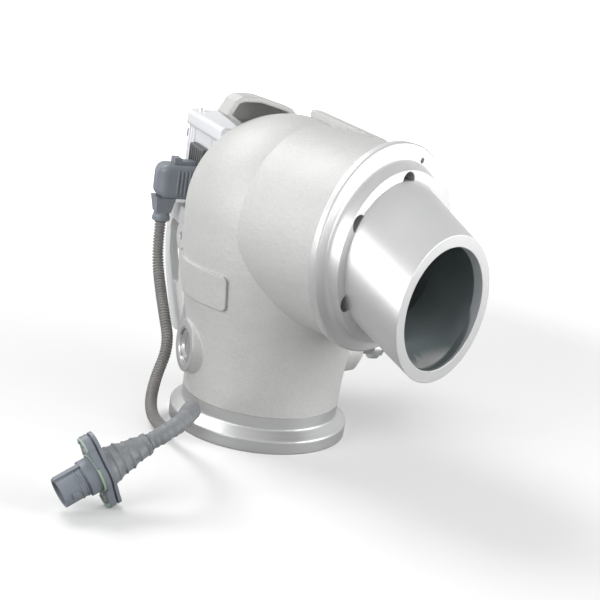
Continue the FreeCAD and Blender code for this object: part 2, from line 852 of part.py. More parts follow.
def motor_rotor():
    start = room_face + motor_end_wall + 6
    core = along_shaft(motor_out, motor_up, rotor_r, start, start + rotor_length)
    slot_width = 1.6
    for index in range(6):
        slot = block((motor_out - slot_width / 2, start - 1, motor_up + rotor_r * 0.55),
                     (motor_out + slot_width / 2, start + rotor_length + 1, motor_up + rotor_r + 1))
        slot.rotate(Vector(motor_out, 0, motor_up), Vector(0, 1, 0), 60 * index)
        core = core.cut(slot)
    end = start + rotor_length
    commutator = along_shaft(motor_out, motor_up, commutator_r, end, end + commutator_length)
    shaft = along_shaft(motor_out, motor_up, motor_shaft_r, -pinion_place - pinion_width, room_face + motor_length)
    return core.fuse([commutator, shaft])


def top_plate():
    """Plate along the housing's top that reaches in to the shelf and clears the bulb."""
    plate = block((top_plate_start, -top_plate_far, shelf_height), (top_plate_end, top_plate_near, housing_top))
    edges = []
    for edge in plate.Edges:
        box = edge.BoundBox
        outer = abs(box.XMin - top_plate_end) < 0.01
        near = abs(box.YMin - top_plate_near) < 0.01
        upright = box.ZLength > 1
        if (outer and near) or (near and not upright):
            edges.append(edge)
    plate = plate.makeFillet(top_plate_edge_r, edges)
    return plate.cut(Part.makeSphere(bulb_r + top_plate_gap, Vector(0, 0, axis_height)))


def actuator_housing():
    front = rounded_slab((housing_inner, -gear_wall_face, housing_bottom),
                         (housing_outer, housing_front, housing_top), corner_r)
    case = rounded_slab((gear_case_inner, -cover_seat, housing_bottom),
                        (gear_case_outer, -gear_wall_face + housing_wall, housing_top), corner_r)
    body = front.fuse([case, top_plate()])
    room = rounded_slab((housing_inner + housing_wall, room_face, motor_room_floor),
                        (housing_outer - housing_wall, housing_front - housing_wall, housing_top - housing_wall),
                        corner_r - housing_wall)
    gears = rounded_slab((gear_case_inner + housing_wall, -cover_seat - 1, housing_bottom + housing_wall),
                         (gear_case_outer - housing_wall, -gear_wall_face, housing_top - housing_wall),
                         corner_r - housing_wall)
    body = body.cut(room).cut(gears)
    body = body.cut(along_shaft(output_out, output_up, bearing_r, -gear_wall_face - 1, room_face + 1))
    body = body.cut(along_shaft(motor_out, motor_up, motor_shaft_r + 1.5, -gear_wall_face - 1, room_face + 1))
    for out, up in cover_screw_places():
        lug = along_shaft(out, up, cover_screw_r + 2.5, -cover_seat, -gear_wall_face)
        body = body.fuse(lug.common(case))
    for out, up in cover_screw_places():
        body = body.cut(along_shaft(out, up, cover_screw_r + hole_clearance, -cover_seat - 1,
                                    -cover_seat + cover_screw_reach + 1))
    for out, side in case_bolt_places():
        body = body.cut(Part.makeCylinder(case_bolt_r + hole_clearance, case_bolt_reach + 2,
                                          Vector(out, side, housing_bottom - 1)))
    for out, side in tab_bolt_places():
        body = body.cut(Part.makeCylinder(case_bolt_r + hole_clearance, top_plate_thickness + 2,
                                          Vector(out, side, shelf_height - 1)))
    wire_slot = block((socket_out - 8, housing_front - housing_wall - 1, socket_up - 1),
                      (socket_out + 8, housing_front + 1, socket_up + 5))
    return body.cut(wire_slot).removeSplitter()


def cover_screw_places():
    inset = 5.5
    low, high = gear_case_inner + inset, gear_case_outer - inset
    bottom, top = housing_bottom + inset, housing_top - inset
    middle = (low + high) / 2
    return [(low, bottom), (high, bottom), (low, top), (high, top), (middle, bottom - 1.5), (middle, top + 1.5)]


def actuator_cover():
    plate = rounded_slab((gear_case_inner, -cover_seat - cover_thickness, housing_bottom),
                         (gear_case_outer, -cover_seat, housing_top), corner_r)
    face = -cover_seat - cover_thickness
    boss = along_shaft(output_out, output_up, cover_boss_r, face - cover_boss_height, face)
    ribs = []
    for angle_deg in (20, 90, 160, 230, 310):
        angle = math.radians(angle_deg)
        rib = block((output_out, face - 3, output_up - 1.5), (output_out + 26, face, output_up + 1.5))
        rib.rotate(Vector(output_out, 0, output_up), Vector(0, 1, 0), -math.degrees(angle))
        ribs.append(rib.common(block((gear_case_inner + 3, face - 4, housing_bottom + 3),
                                     (gear_case_outer - 3, face + 1, housing_top - 3))))
    body = plate.fuse([boss] + ribs)
    body = body.cut(along_shaft(output_out, output_up, bearing_r, cover_bearing_start, -cover_seat + 1))
    body = body.cut(along_shaft(output_out, output_up, bearing_r - 1, face - cover_boss_height - 1, -cover_seat + 1))
    for out, up in cover_screw_places():
        body = body.cut(along_shaft(out, up, cover_screw_r + hole_clearance, face - 1, -cover_seat + 1))
    return body.removeSplitter()


cover_bearing_start = -cover_seat - bearing_width


def cover_screws():
    screws = []
    face = -cover_seat - cover_thickness
    for out, up in cover_screw_places():
        shank = along_shaft(out, up, cover_screw_r, face, -cover_seat + cover_screw_reach)
        head = along_shaft(out, up, cover_screw_head_r, face - cover_screw_head, face)
        screws.append(shank.fuse(head))
    return Part.makeCompound(screws)


def output_bearings():
    inner = output_shaft_r + running_fit
    near = ring_along_shaft(output_out, output_up, bearing_r, inner, -gear_wall_face, room_face)
    far = ring_along_shaft(output_out, output_up, bearing_r, inner, cover_bearing_start, -cover_seat)
    return Part.makeCompound([near, far])


def output_seal():
    end = cover_bearing_start
    start = -cover_seat - cover_thickness - cover_boss_height
    return ring_along_shaft(output_out, output_up, bearing_r - 1, output_shaft_r + running_fit, start, end)


def output_shaft():
    end = room_face + 1.5
    start = -lever_face - lever_thickness - lever_nut_height - 1
    shaft = along_shaft(output_out, output_up, output_shaft_r, -lever_face, end)
    return shaft.fuse(along_shaft(output_out, output_up, output_shaft_r - 1, start, -lever_face))


def sensor_magnet():
    start = room_face + 1.5
    return along_shaft(output_out, output_up, magnet_r, start, start + magnet_height)


def half_ring(centre_shift, radius, sign):
    """Half of a flat spiral's turn, above or below the output shaft's axis."""
    middle = Vector(output_out + centre_shift, 0, output_up)
    start = middle + Vector(radius, 0, 0)
    top = middle + Vector(0, 0, sign * radius)
    end = middle - Vector(radius, 0, 0)
    return Part.Arc(start, top, end).toShape()


def return_spring():
    """A strip wound in half turns, each a little wider than the last."""
    place = -sector_place + sector_hub_stand + side_clearance
    halves = []
    for index in range(2 * spring_turns):
        sign = 1 if index % 2 == 0 else -1
        shift = -sign * spring_pitch / 4
        radius = spring_inner_r + spring_pitch * (index + 0.5) / 2
        outer = half_ring(shift, radius + spring_strip / 2, sign)
        inner = half_ring(shift, radius - spring_strip / 2, sign)
        ends = [e.Vertexes for e in (outer, inner)]
        right = Part.makeLine(ends[0][0].Point, ends[1][0].Point)
        left = Part.makeLine(ends[0][1].Point, ends[1][1].Point)
        face = Part.Face(Part.Wire(Part.__sortEdges__([outer, inner, right, left])))
        half = face.extrude(Vector(0, spring_width, 0))
        half.translate(Vector(0, place, 0))
        halves.append(half)
    return halves[0].fuse(halves[1:]).removeSplitter()


def control_board():
    start = room_face + board_gap
    board = block((housing_inner + housing_wall + 2, start, motor_room_floor + 1),
                  (housing_outer - housing_wall - 2, start + board_thickness, motor_up - motor_r - 1.5))
    chips = [
        block((output_out - 4, start - 1.6, output_up - 4), (output_out + 4, start, output_up + 4)),
        block((output_out + 10, start + board_thickness, output_up - 6),
              (output_out + 22, start + board_thickness + 2, output_up + 6)),
    ]
    return board.fuse(chips)


def board_standoffs():
    pins = []
    for out in (housing_inner + housing_wall + 6, housing_outer - housing_wall - 6):
        pins.append(along_shaft(out, motor_room_floor + 6, standoff_r, room_face, room_face + board_gap))
    return Part.makeCompound(pins)


def socket_box(width, start, end):
    half = width / 2
    return rounded_slab((socket_out - half, start, socket_up - half),
                        (socket_out + half, end, socket_up + half), min(3.0, width / 5))


def actuator_socket():
    flange_end = housing_front + socket_flange_thickness
    half = socket_flange_width / 2
    flange = rounded_slab((socket_out - half, housing_front, socket_up - socket_flange_below),
                          (socket_out + half, flange_end, socket_up + socket_flange_above), 3.0)
    shroud = socket_box(socket_width, flange_end, flange_end + socket_depth)
    hollow = socket_box(socket_width - 2 * socket_wall, flange_end, flange_end + socket_depth + 1)
    body = flange.fuse(shroud).cut(hollow)
    for place in contact_places():
        body = body.cut(along_shaft(place, socket_up, contact_r, housing_front - 1, flange_end + 1))
    return body


def contact_places():
    first = socket_out - contact_pitch * (contact_count - 1) / 2
    return [first + contact_pitch * index for index in range(contact_count)]


def socket_contacts():
    start = housing_front - housing_wall + 0.5
    end = housing_front + socket_flange_thickness + 7
    return Part.makeCompound([along_shaft(p, socket_up, contact_r, start, end) for p in contact_places()])


plug_start = housing_front + socket_flange_thickness + side_clearance
plug_end = plug_start + plug_reach
plug_exit_side = plug_end - plug_limb / 2


def rectangle(half_out, side, half_side, up):
    """A level rectangle round a point beside the socket's middle."""
    return Part.Wire(Part.makePolygon([
        Vector(socket_out - half_out, side - half_side, up),
        Vector(socket_out + half_out, side - half_side, up),
        Vector(socket_out + half_out, side + half_side, up),
        Vector(socket_out - half_out, side + half_side, up),
        Vector(socket_out - half_out, side - half_side, up),
    ]))


def harness_plug():
    """Right-angle plug over the socket, with a limb that tapers down to the conduit."""
    half = plug_width / 2
    bottom, top = socket_up - plug_height / 2, socket_up + plug_height / 2
    head = rounded_slab((socket_out - half, plug_start, bottom), (socket_out + half, plug_end, top), 5.0)
    outer_edge = [e for e in head.Edges
                  if abs(e.BoundBox.YMin - plug_end) < 0.01 and e.BoundBox.YLength < 0.01
                  and e.BoundBox.ZMin > top - 0.1]
    head = head.makeFillet(9.0, outer_edge)
    limb_low = plug_exit_up + 8
    limb = Part.makeLoft([
        rectangle(half - 2, plug_exit_side, plug_limb / 2 - 0.5, bottom + 0.5),
        rectangle(plug_neck_r * 0.95, plug_exit_side, plug_neck_r * 0.95, limb_low),
    ], True, True)
    neck = Part.makeCylinder(plug_neck_r, limb_low - plug_exit_up + 1, Vector(socket_out, plug_exit_side, plug_exit_up))
    hollow = socket_box(socket_width + 2 * hole_clearance, plug_start - 1, plug_start + socket_depth)
    return head.fuse([limb, neck]).cut(hollow).removeSplitter()


def plug_lock():
    """Sliding lock on top of the plug."""
    half = 6.0
    top = socket_up + plug_height / 2
    base = block((socket_out - half, plug_start + 2, top), (socket_out + half, plug_start + 22, top + 3))
    grip = block((socket_out - half, plug_start + 16, top + 3), (socket_out + half, plug_start + 22, top + 5.5))
    return base.fuse(grip)


def conduit_route():
    exit_point = Vector(socket_out, plug_exit_side, plug_exit_up)
    turn = FreeCAD.Rotation(Vector(0, 0, 1), valve_azimuth)
    start = turn.multVec(exit_point)
    axis = connector_axis()
    end = connector_place - axis * (plate_thickness / 2 + backshell_length)
    return [
        start,
        start - Vector(0, 0, 20),
        Vector(-119.5, -20.9, 103.4),
        Vector(-104.6, -28.2, 85.7),
        Vector(-90.5, -35.2, 71.7),
        Vector(-71, -43.9, 49.7),
        Vector(-61.9, -65.5, 24.4),
        Vector(-40.5, -87.9, 9.1),
        Vector(-10.7, -99, 5.7),
        Vector(11.3, -106.4, 15.7),
        Vector(29.5, -116.3, 42.5),
        Vector(59.8, -139.5, 58.9),
        Vector(72.9, -159.8, 59),
        end - axis * 19,
        end,
    ]


def connector_axis():
    heading = math.radians(connector_heading)
    tilt = math.radians(connector_tilt)
    return Vector(math.cos(tilt) * math.cos(heading), math.cos(tilt) * math.sin(heading), -math.sin(tilt))


def bend_radii(points):
    """The largest bend at each inner point that its two runs leave room for."""
    radii = []
    for before, corner, after in zip(points, points[1:], points[2:]):
        shorter = min((corner - before).Length, (after - corner).Length)
        turn = (corner - before).getAngle(after - corner)
        radii.append(0.45 * shorter / math.tan(turn / 2))
    return radii


def rounded_path(points, radii):
    """Straight runs joined by tangent arcs."""
    edges = []
    start = points[0]
    for before, corner, after, radius in zip(points, points[1:], points[2:], radii):
        inward = (before - corner).normalize()
        outward = (after - corner).normalize()
        turn = (corner - before).getAngle(after - corner)
        setback = radius * math.tan(turn / 2)
        arc_start = corner + inward * setback
        arc_end = corner + outward * setback
        bisector = (inward + outward).normalize()
        centre = corner + bisector * (radius / math.cos(turn / 2))
        arc_middle = centre - bisector * radius
        edges.append(Part.LineSegment(start, arc_start).toShape())
        edges.append(Part.Arc(arc_start, arc_middle, arc_end).toShape())
        start = arc_end
    edges.append(Part.LineSegment(start, points[-1]).toShape())
    return Part.Wire(edges)


def tube_along(path, points, radius):
    section = circle_wire(points[0], points[1] - points[0], radius)
    return path.makePipeShell([section], True, True)


def harness_conduit():
    points = conduit_route()
    radii = bend_radii(points)
    print("conduit bend radii:", [round(r, 1) for r in radii])
    path = rounded_path(points, radii)
    tube = tube_along(path, points, conduit_r)
    print("conduit length", round(path.Length, 1), "volume ratio",
          round(tube.Volume / (math.pi * conduit_r ** 2 * path.Length), 4))
    return tube


def conduit_sleeve():
    points = conduit_route()
    radii = bend_radii(points)
    first = (points[-5] + points[-4]) / 2
    kept = [first] + points[-4:]
    path = rounded_path(kept, radii[-3:])
    outer = tube_along(path, kept, sleeve_r)
    inner = tube_along(path, kept, conduit_r + running_fit)
    return outer.cut(inner)


def connector_frame(shape):
    """Turn a shape built along +Y at the origin to the connector's axis and place."""
    rotation = FreeCAD.Rotation(Vector(0, 1, 0), connector_axis())
    upright = rotation.multVec(Vector(0, 0, 1))
    axis = connector_axis()
    wanted = Vector(0, 0, 1) - axis * axis.z
    angle = math.degrees(upright.getAngle(wanted))
    if axis.dot(upright.cross(wanted)) < 0:
        angle = -angle
    rotation = FreeCAD.Rotation(axis, angle).multiply(rotation)
    shape.Placement = FreeCAD.Placement(connector_place, rotation).multiply(shape.Placement)
    return shape


def flange_layer(inset, start, end):
    """One layer of the oblong flange, drawn in from its outline all round."""
    end_r = plate_end_r - inset
    waist_r = backshell_r + 1.5 - inset
    reach = plate_length / 2 - plate_end_r
    web = outline_face([
        Vector(-end_r, start, -reach), Vector(end_r, start, -reach),
        Vector(waist_r, start, 0), Vector(end_r, start, reach),
        Vector(-end_r, start, reach), Vector(-waist_r, start, 0),
    ]).extrude(Vector(0, end - start, 0))
    rounds = [along_shaft(0, up, end_r, start, end) for up in (-reach, reach)]
    return web.fuse(rounds + [along_shaft(0, 0, waist_r, start, end)]).removeSplitter()


def connector_flange():
    half = plate_thickness / 2
    slot_start = -half + plate_back_layer
    slot_end = slot_start + plate_slot_width
    body = flange_layer(0, -half, slot_start).fuse([
        flange_layer(plate_slot_depth, slot_start, slot_end),
        flange_layer(0, slot_end, half),
    ])
    reach = plate_length / 2 - plate_end_r
    for up in (-reach, reach):
        body = body.cut(along_shaft(0, up, plate_hole_r, -half - 1, half + 1))
    return body.cut(seal_ring(half + 1)).removeSplitter()


def seal_ring(end):
    inner_r = nose_collar_r + side_clearance
    return ring_along_shaft(0, 0, inner_r + seal_width, inner_r, plate_thickness / 2 - seal_thickness, end)


def flange_seal():
    return seal_ring(plate_thickness / 2 + seal_stand)


def pin_places():
    angles = [math.radians(72 * index) for index in range(contact_count)]
    return [(nose_r * 0.46 * math.cos(a), nose_r * 0.46 * math.sin(a)) for a in angles]


def connector_nose():
    half = plate_thickness / 2
    tip = half + nose_length
    body = along_shaft(0, 0, nose_r, half, tip).fuse([
        along_shaft(0, 0, nose_collar_r, half, half + nose_collar_length),
        block((-2, half + nose_collar_length, nose_r - 1), (2, tip, nose_r + 1.5)),
    ])
    body = body.cut(along_shaft(0, 0, nose_r - nose_wall, half + nose_web, tip + 1))
    for out, up in pin_places():
        body = body.cut(along_shaft(out, up, contact_r, half + 3, half + nose_web + 1))
    return body


def connector_pins():
    start = plate_thickness / 2 + 3
    end = plate_thickness / 2 + nose_length - pin_recess
    return Part.makeCompound([along_shaft(out, up, contact_r, start, end) for out, up in pin_places()])


def connector_backshell():
    """Tapered boot behind the flange, with ridges for grip."""
    half = plate_thickness / 2
    start = -half - backshell_length
    shell = Part.makeCone(backshell_end_r, backshell_r, backshell_length, Vector(0, start, 0), Vector(0, 1, 0))
    ridges = [along_shaft(0, 0, backshell_r - 0.8, -half - 6 - 5 * k, -half - 4 - 5 * k) for k in range(2)]
    return shell.fuse(ridges).removeSplitter()


def actuator_bracket():
    """Cast bracket: a foot on the leg, two leaning arms and a plate under the actuator."""
    plate_low = housing_bottom - bracket_top_thickness
    outline = [
        (foot_face - 12, foot_bottom + 2), (foot_face + 10, foot_bottom), (foot_face + 25, foot_bottom + 14),
        (housing_outer - 22, plate_low - 55), (housing_outer - 12, plate_low - 31),
        (housing_outer - 12, plate_low - 9), (housing_outer - 6, plate_low), (housing_inner, plate_low),
        (foot_face + 4, plate_low - 31), (foot_face - 12, foot_bottom + 26),
    ]
    window = [
        (foot_face + 8, foot_bottom + 40), (foot_face + 24, foot_bottom + 38), (housing_outer - 28, plate_low - 41),
        (housing_outer - 22, plate_low - 19), (housing_outer - 26, plate_low - 10), (housing_inner + 10, plate_low - 10),
    ]
    arms = []
    for start in (-arm_inner_face - arm_thickness, arm_inner_face):
        arm = outline_face([Vector(out, start, up) for out, up in outline])
        opening = outline_face([Vector(out, start - 1, up) for out, up in window])
        arm = arm.extrude(Vector(0, arm_thickness, 0))
        arms.append(arm.cut(opening.extrude(Vector(0, arm_thickness + 2, 0))))
    arms.append(along_shaft(ear_out, ear_up, ear_r, arm_inner_face - 4, arm_inner_face + arm_thickness + ear_stand))
    reach = arm_inner_face + arm_thickness
    foot = block((foot_face, -reach, foot_bottom), (foot_face + foot_thickness, reach, foot_top))
    plate = block((housing_inner, -reach, plate_low), (housing_outer, reach, housing_bottom))
    body = foot.fuse(arms + [plate])
    opening = block((housing_inner + 16, -18, plate_low - 1), (housing_outer - 16, 18, housing_bottom + 1))
    body = body.cut(opening)
    for side, up in foot_bolt_places():
        body = body.cut(Part.makeCylinder(foot_bolt_r + hole_clearance, foot_thickness + 2,
                                          Vector(foot_face - 1, side, up), Vector(1, 0, 0)))
    for out, side in case_bolt_places():
        body = body.cut(Part.makeCylinder(case_bolt_r + hole_clearance, bracket_top_thickness + 2,
                                          Vector(out, side, plate_low - 1)))
    ear_face = arm_inner_face + arm_thickness + ear_stand
    body = body.cut(along_shaft(ear_out, ear_up, ear_hole_r, arm_inner_face - 5, ear_face + 1))
    return body.removeSplitter()


def case_bolt_places():
    inset = 9.0
    outs = (housing_inner + inset, housing_outer - inset)
    return [(out, side) for out in outs for side in (-case_bolt_side, case_bolt_side)]


def foot_bolts():
    bolts = []
    face = foot_face + foot_thickness
    for side, up in foot_bolt_places():
        shank = Part.makeCylinder(foot_bolt_r, foot_thickness + foot_bolt_reach,
                                  Vector(foot_face - foot_bolt_reach, side, up), Vector(1, 0, 0))
        head = Part.makeCylinder(bolt_head_r, bolt_head_height, Vector(face, side, up), Vector(1, 0, 0))
        bolts.append(shank.fuse(head))
    return Part.makeCompound(bolts)


def case_bolts():
    bolts = []
    low = housing_bottom - bracket_top_thickness
    for out, side in case_bolt_places():
        shank = Part.makeCylinder(case_bolt_r, bracket_top_thickness + case_bolt_reach, Vector(out, side, low))
        head = Part.makeCylinder(case_bolt_head_r, case_bolt_head, Vector(out, side, low - case_bolt_head))
        bolts.append(shank.fuse(head))
    return Part.makeCompound(bolts)


def tab_bolts():
    bolts = []
    for out, side in tab_bolt_places():
        shank = Part.makeCylinder(case_bolt_r, top_plate_thickness + tab_bolt_reach,
                                  Vector(out, side, shelf_height - tab_bolt_reach))
        head = Part.makeCylinder(case_bolt_head_r, case_bolt_head, Vector(out, side, housing_top))
        bolts.append(shank.fuse(head))
    return Part.makeCompound(bolts)


turned_nodes = {
    "bush_near": lambda: shaft_bush(near_bush_start, near_bush_length),
    "bush_far": lambda: shaft_bush(far_bush_start, far_bush_length),
    "shaft_plug": shaft_plug,
    "shaft_seal_rings": shaft_seals,
    "butterfly_disc": butterfly_disc,
    "valve_shaft": valve_shaft,
    "disc_screws": disc_screws,
    "valve_lever": lambda: lever(0, shaft_height, shaft_r - 1),
    "valve_lever_nut": lambda: lever_nut(0, shaft_height, shaft_r - 1),
    "lower_link_pin": lambda: link_pin(0, shaft_height),
    "lower_link_clip": lambda: link_clip(0, shaft_height),
    "output_lever": lambda: lever(output_out, output_up, output_shaft_r - 1),
    "output_lever_nut": lambda: lever_nut(output_out, output_up, output_shaft_r - 1),
    "upper_link_pin": lambda: link_pin(output_out, output_up),
    "upper_link_clip": lambda: link_clip(output_out, output_up),
    "link_eye_lower": lambda: link_eye(0, shaft_height, 1),
    "link_eye_upper": lambda: link_eye(output_out, output_up, -1),
    "link_rod": link_rod,
    "link_locknuts": link_locknuts,
    "actuator_bracket": actuator_bracket,
    "foot_bolts": foot_bolts,
    "case_bolts": case_bolts,
    "tab_bolts": tab_bolts,
    "actuator_housing": actuator_housing,
    "actuator_cover": actuator_cover,
    "cover_screws": cover_screws,
    "output_bearings": output_bearings,
    "output_seal": output_seal,
    "output_shaft": output_shaft,
    "sector_gear": sector_gear,
    "idler_gear": idler_gear,
    "idler_pin": idler_pin,
    "motor_pinion": motor_pinion,
    "motor_rotor": motor_rotor,
    "motor_can": motor_can,
    "motor_magnets": motor_magnets,
    "return_spring": return_spring,
    "sensor_magnet": sensor_magnet,
    "control_board": control_board,
    "board_standoffs": board_standoffs,
    "actuator_socket": actuator_socket,
    "socket_contacts": socket_contacts,
    "harness_plug": harness_plug,
    "plug_lock": plug_lock,
}

placed_nodes = {
    "elbow_housing": elbow_housing,
    "inlet_flange": inlet_flange,
    "inlet_nozzle": inlet_nozzle,
    "harness_conduit": harness_conduit,
    "conduit_sleeve": conduit_sleeve,
    "connector_backshell": lambda: connector_frame(connector_backshell()),
    "connector_flange": lambda: connector_frame(connector_flange()),
    "flange_seal": lambda: connector_frame(flange_seal()),
    "connector_nose": lambda: connector_frame(connector_nose()),
    "connector_pins": lambda: connector_frame(connector_pins()),
}

os.makedirs("parts", exist_ok=True)
for name, make in turned_nodes.items():
    valve_side(make()).exportStep("parts/" + name + ".step")
for name, make in placed_nodes.items():
    make().exportStep("parts/" + name + ".step")
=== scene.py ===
# %% [markdown]
# This file dresses an exhaust brake valve for a truck engine.
# The cast elbow, its flanges, the actuator and the butterfly come from the CAD frame, at true size.
# Here they get their finishes, and the small soft and fine parts are modelled round them.

# %% Load the frame
import json
import math
import random

import bmesh
import bpy
from mathutils import Matrix, Vector

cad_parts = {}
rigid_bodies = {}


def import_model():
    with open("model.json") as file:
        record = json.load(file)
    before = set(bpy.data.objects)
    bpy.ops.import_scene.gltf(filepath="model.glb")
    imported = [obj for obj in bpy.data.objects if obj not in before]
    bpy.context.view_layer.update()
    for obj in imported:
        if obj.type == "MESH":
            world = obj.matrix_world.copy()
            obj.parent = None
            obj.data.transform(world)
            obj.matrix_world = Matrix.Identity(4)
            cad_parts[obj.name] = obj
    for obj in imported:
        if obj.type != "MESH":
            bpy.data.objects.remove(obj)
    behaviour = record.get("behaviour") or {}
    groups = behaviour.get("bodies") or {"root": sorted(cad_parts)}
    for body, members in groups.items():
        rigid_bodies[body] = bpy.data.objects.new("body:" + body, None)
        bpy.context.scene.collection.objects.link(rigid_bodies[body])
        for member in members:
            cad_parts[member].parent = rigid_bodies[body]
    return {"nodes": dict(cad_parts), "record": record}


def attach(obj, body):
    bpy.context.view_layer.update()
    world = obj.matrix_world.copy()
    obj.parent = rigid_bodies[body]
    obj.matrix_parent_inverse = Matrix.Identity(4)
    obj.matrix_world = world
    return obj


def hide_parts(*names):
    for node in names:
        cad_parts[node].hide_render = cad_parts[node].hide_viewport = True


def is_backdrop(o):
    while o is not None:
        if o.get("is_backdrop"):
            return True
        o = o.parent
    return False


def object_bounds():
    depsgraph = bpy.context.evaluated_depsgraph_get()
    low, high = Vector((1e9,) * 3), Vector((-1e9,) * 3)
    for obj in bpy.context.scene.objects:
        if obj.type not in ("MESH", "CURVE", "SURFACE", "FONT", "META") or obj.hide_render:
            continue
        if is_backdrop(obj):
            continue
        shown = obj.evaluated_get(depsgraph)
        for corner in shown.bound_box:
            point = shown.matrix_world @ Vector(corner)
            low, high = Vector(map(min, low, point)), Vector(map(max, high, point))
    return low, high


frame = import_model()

cad_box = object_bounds()
nodes = frame["nodes"]
scene = bpy.context.scene
print("frame nodes:", len(nodes))
print("frame size in metres:", [round(b - a, 4) for a, b in zip(*cad_box)])

# %% [markdown]
# The camera stands where the photograph was taken: in front, to the inlet's side and a little above.
# Its three directions were fitted to the clamp rim, the inlet flange and the nozzle's mouth.
# A long lens keeps the ellipses of those circles as flat as they are in the picture.

# %% Camera
camera_place = Vector((0.67727, -0.78663, 0.40073))
camera_right = Vector((0.73747, 0.66028, 0.14204))
camera_down = Vector((0.28375, -0.11206, -0.95233))
camera_forward = Vector((-0.61288, 0.74262, -0.26999))

camera = bpy.data.objects.new("camera", bpy.data.cameras.new("camera"))
scene.collection.objects.link(camera)
camera.data.lens = 78
camera.data.sensor_width = 36
camera.data.clip_start = 0.01
aim = Matrix((camera_right, -camera_down, -camera_forward)).transposed().to_4x4()
camera.matrix_world = Matrix.Translation(camera_place) @ aim
scene.camera = camera
scene.view_settings.view_transform = "Standard"
print("camera to object in metres:", round(camera_place.length, 3))

# %% [markdown]
# Two sets of directions are used below, both in millimetres.
# The valve's own directions run out to the actuator, along the shafts, and up.
# The connector's directions have its second one along its nose, away from the conduit.

# %% Directions of the valve and of the connector
millimetre = 0.001
valve_azimuth = math.radians(154)
valve_frame = Matrix.Rotation(valve_azimuth, 4, "Z") @ Matrix.Scale(millimetre, 4)

connector_centre = Vector((0.0623, -0.2276, 0.0291))
connector_heading = math.radians(-106)
connector_tilt = math.radians(26)
connector_axis = Vector((
    math.cos(connector_tilt) * math.cos(connector_heading),
    math.cos(connector_tilt) * math.sin(connector_heading),
    -math.sin(connector_tilt),
))
connector_upright = (Vector((0, 0, 1)) - connector_axis * connector_axis.z).normalized()
connector_side = connector_axis.cross(connector_upright)
connector_turn = Matrix((connector_side, connector_axis, connector_upright)).transposed().to_4x4()
connector_frame = Matrix.Translation(connector_centre) @ connector_turn @ Matrix.Scale(millimetre, 4)
print("connector points along", [round(v, 3) for v in connector_axis])

# %% [markdown]
# The wiring runs in one free conduit from the plug on the actuator to the connector on the floor.
# Its line is a smooth NURBS curve through the same points as the CAD tube's route.
# The corrugated tube, its sleeve and everything else on the cord follow points read from that curve.

# %% Line of the conduit
conduit_r = 0.005
plug_mouth = Vector((106, 71.3, 144))
plug_exit = valve_frame @ plug_mouth
boot_end = connector_centre - connector_axis * 0.0385
route = [
    plug_exit,
    plug_exit - Vector((0, 0, 0.020)),
    Vector((-0.1195, -0.0209, 0.1034)),
    Vector((-0.1046, -0.0282, 0.0857)),
    Vector((-0.0905, -0.0352, 0.0717)),
    Vector((-0.0710, -0.0439, 0.0497)),
    Vector((-0.0619, -0.0655, 0.0244)),
    Vector((-0.0405, -0.0879, 0.0091)),
    Vector((-0.0107, -0.0990, 0.0057)),
    Vector((0.0113, -0.1064, 0.0157)),
    Vector((0.0295, -0.1163, 0.0425)),
    Vector((0.0598, -0.1395, 0.0589)),
    Vector((0.0729, -0.1598, 0.0590)),
    boot_end - connector_axis * 0.019,
    boot_end,
]
line_data = bpy.data.curves.new("conduit_line", "CURVE")
line_data.dimensions = "3D"
spline = line_data.splines.new("NURBS")
spline.points.add(len(route) - 1)
for point, place in zip(spline.points, route):
    point.co = (*place, 1)
spline.order_u = 3
spline.use_endpoint_u = True
spline.resolution_u = 24
line_object = bpy.data.objects.new("conduit_line", line_data)
scene.collection.objects.link(line_object)
line_mesh = bpy.data.meshes.new_from_object(line_object)
line_points = [v.co.copy() for v in line_mesh.vertices]
bpy.data.objects.remove(line_object)
line_length = sum((b - a).length for a, b in zip(line_points, line_points[1:]))
print("conduit length in metres:", round(line_length, 4))

# %% [markdown]
# A finished piece keeps its place in its mesh and rides on one body of the frame.
# Each piece also names the finish that it takes from the record.
# Smooth shading with sharp edges above an angle keeps round shapes round and corners crisp.

# %% Helpers for pieces
corner_angle = math.radians(32)


def finish_piece(name, shape, slot, body="root", replaced=(), place=None):
    """Turn a bmesh into an object that rides on a body and may stand for frame nodes."""
    if place is not None:
        bmesh.ops.transform(shape, matrix=place, verts=shape.verts)
    bmesh.ops.recalc_face_normals(shape, faces=shape.faces)
    for face in shape.faces:
        face.smooth = True
    mesh = bpy.data.meshes.new(name)
    shape.to_mesh(mesh)
    shape.free()
    mesh.set_sharp_from_angle(angle=corner_angle)
    piece = bpy.data.objects.new(name, mesh)
    scene.collection.objects.link(piece)
    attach(piece, body)
    if replaced:
        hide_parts(*replaced)
    piece["finish"] = slot
    print(name, "has", len(mesh.polygons), "faces")
    return piece


def spun(shape, profile, steps=48, frame_of_spin=Matrix.Identity(4)):
    """Spin a profile of (along, radius) pairs round the second axis into a closed solid."""
    points = [shape.verts.new((0, along, radius)) for along, radius in profile]
    edges = [shape.edges.new(pair) for pair in zip(points, points[1:])]
    bmesh.ops.spin(shape, geom=points + edges, cent=(0, 0, 0), axis=(0, 1, 0), angle=2 * math.pi,
                   steps=steps, use_merge=True, use_normal_flip=False, use_duplicate=False)
    fresh = [v for v in shape.verts if not v.tag]
    bmesh.ops.remove_doubles(shape, verts=fresh, dist=1e-4)
    fresh = [v for v in shape.verts if not v.tag]
    bmesh.ops.transform(shape, matrix=frame_of_spin, verts=fresh)
    for vert in fresh:
        vert.tag = True


def turn_between(first, second):
    """A turn that carries one direction onto another."""
    return Vector(first).rotation_difference(Vector(second)).to_matrix().to_4x4()


def edges_of(verts):
    """Every edge that meets one of the vertices, once each and always in the same order."""
    return list(dict.fromkeys(e for v in verts for e in v.link_edges))


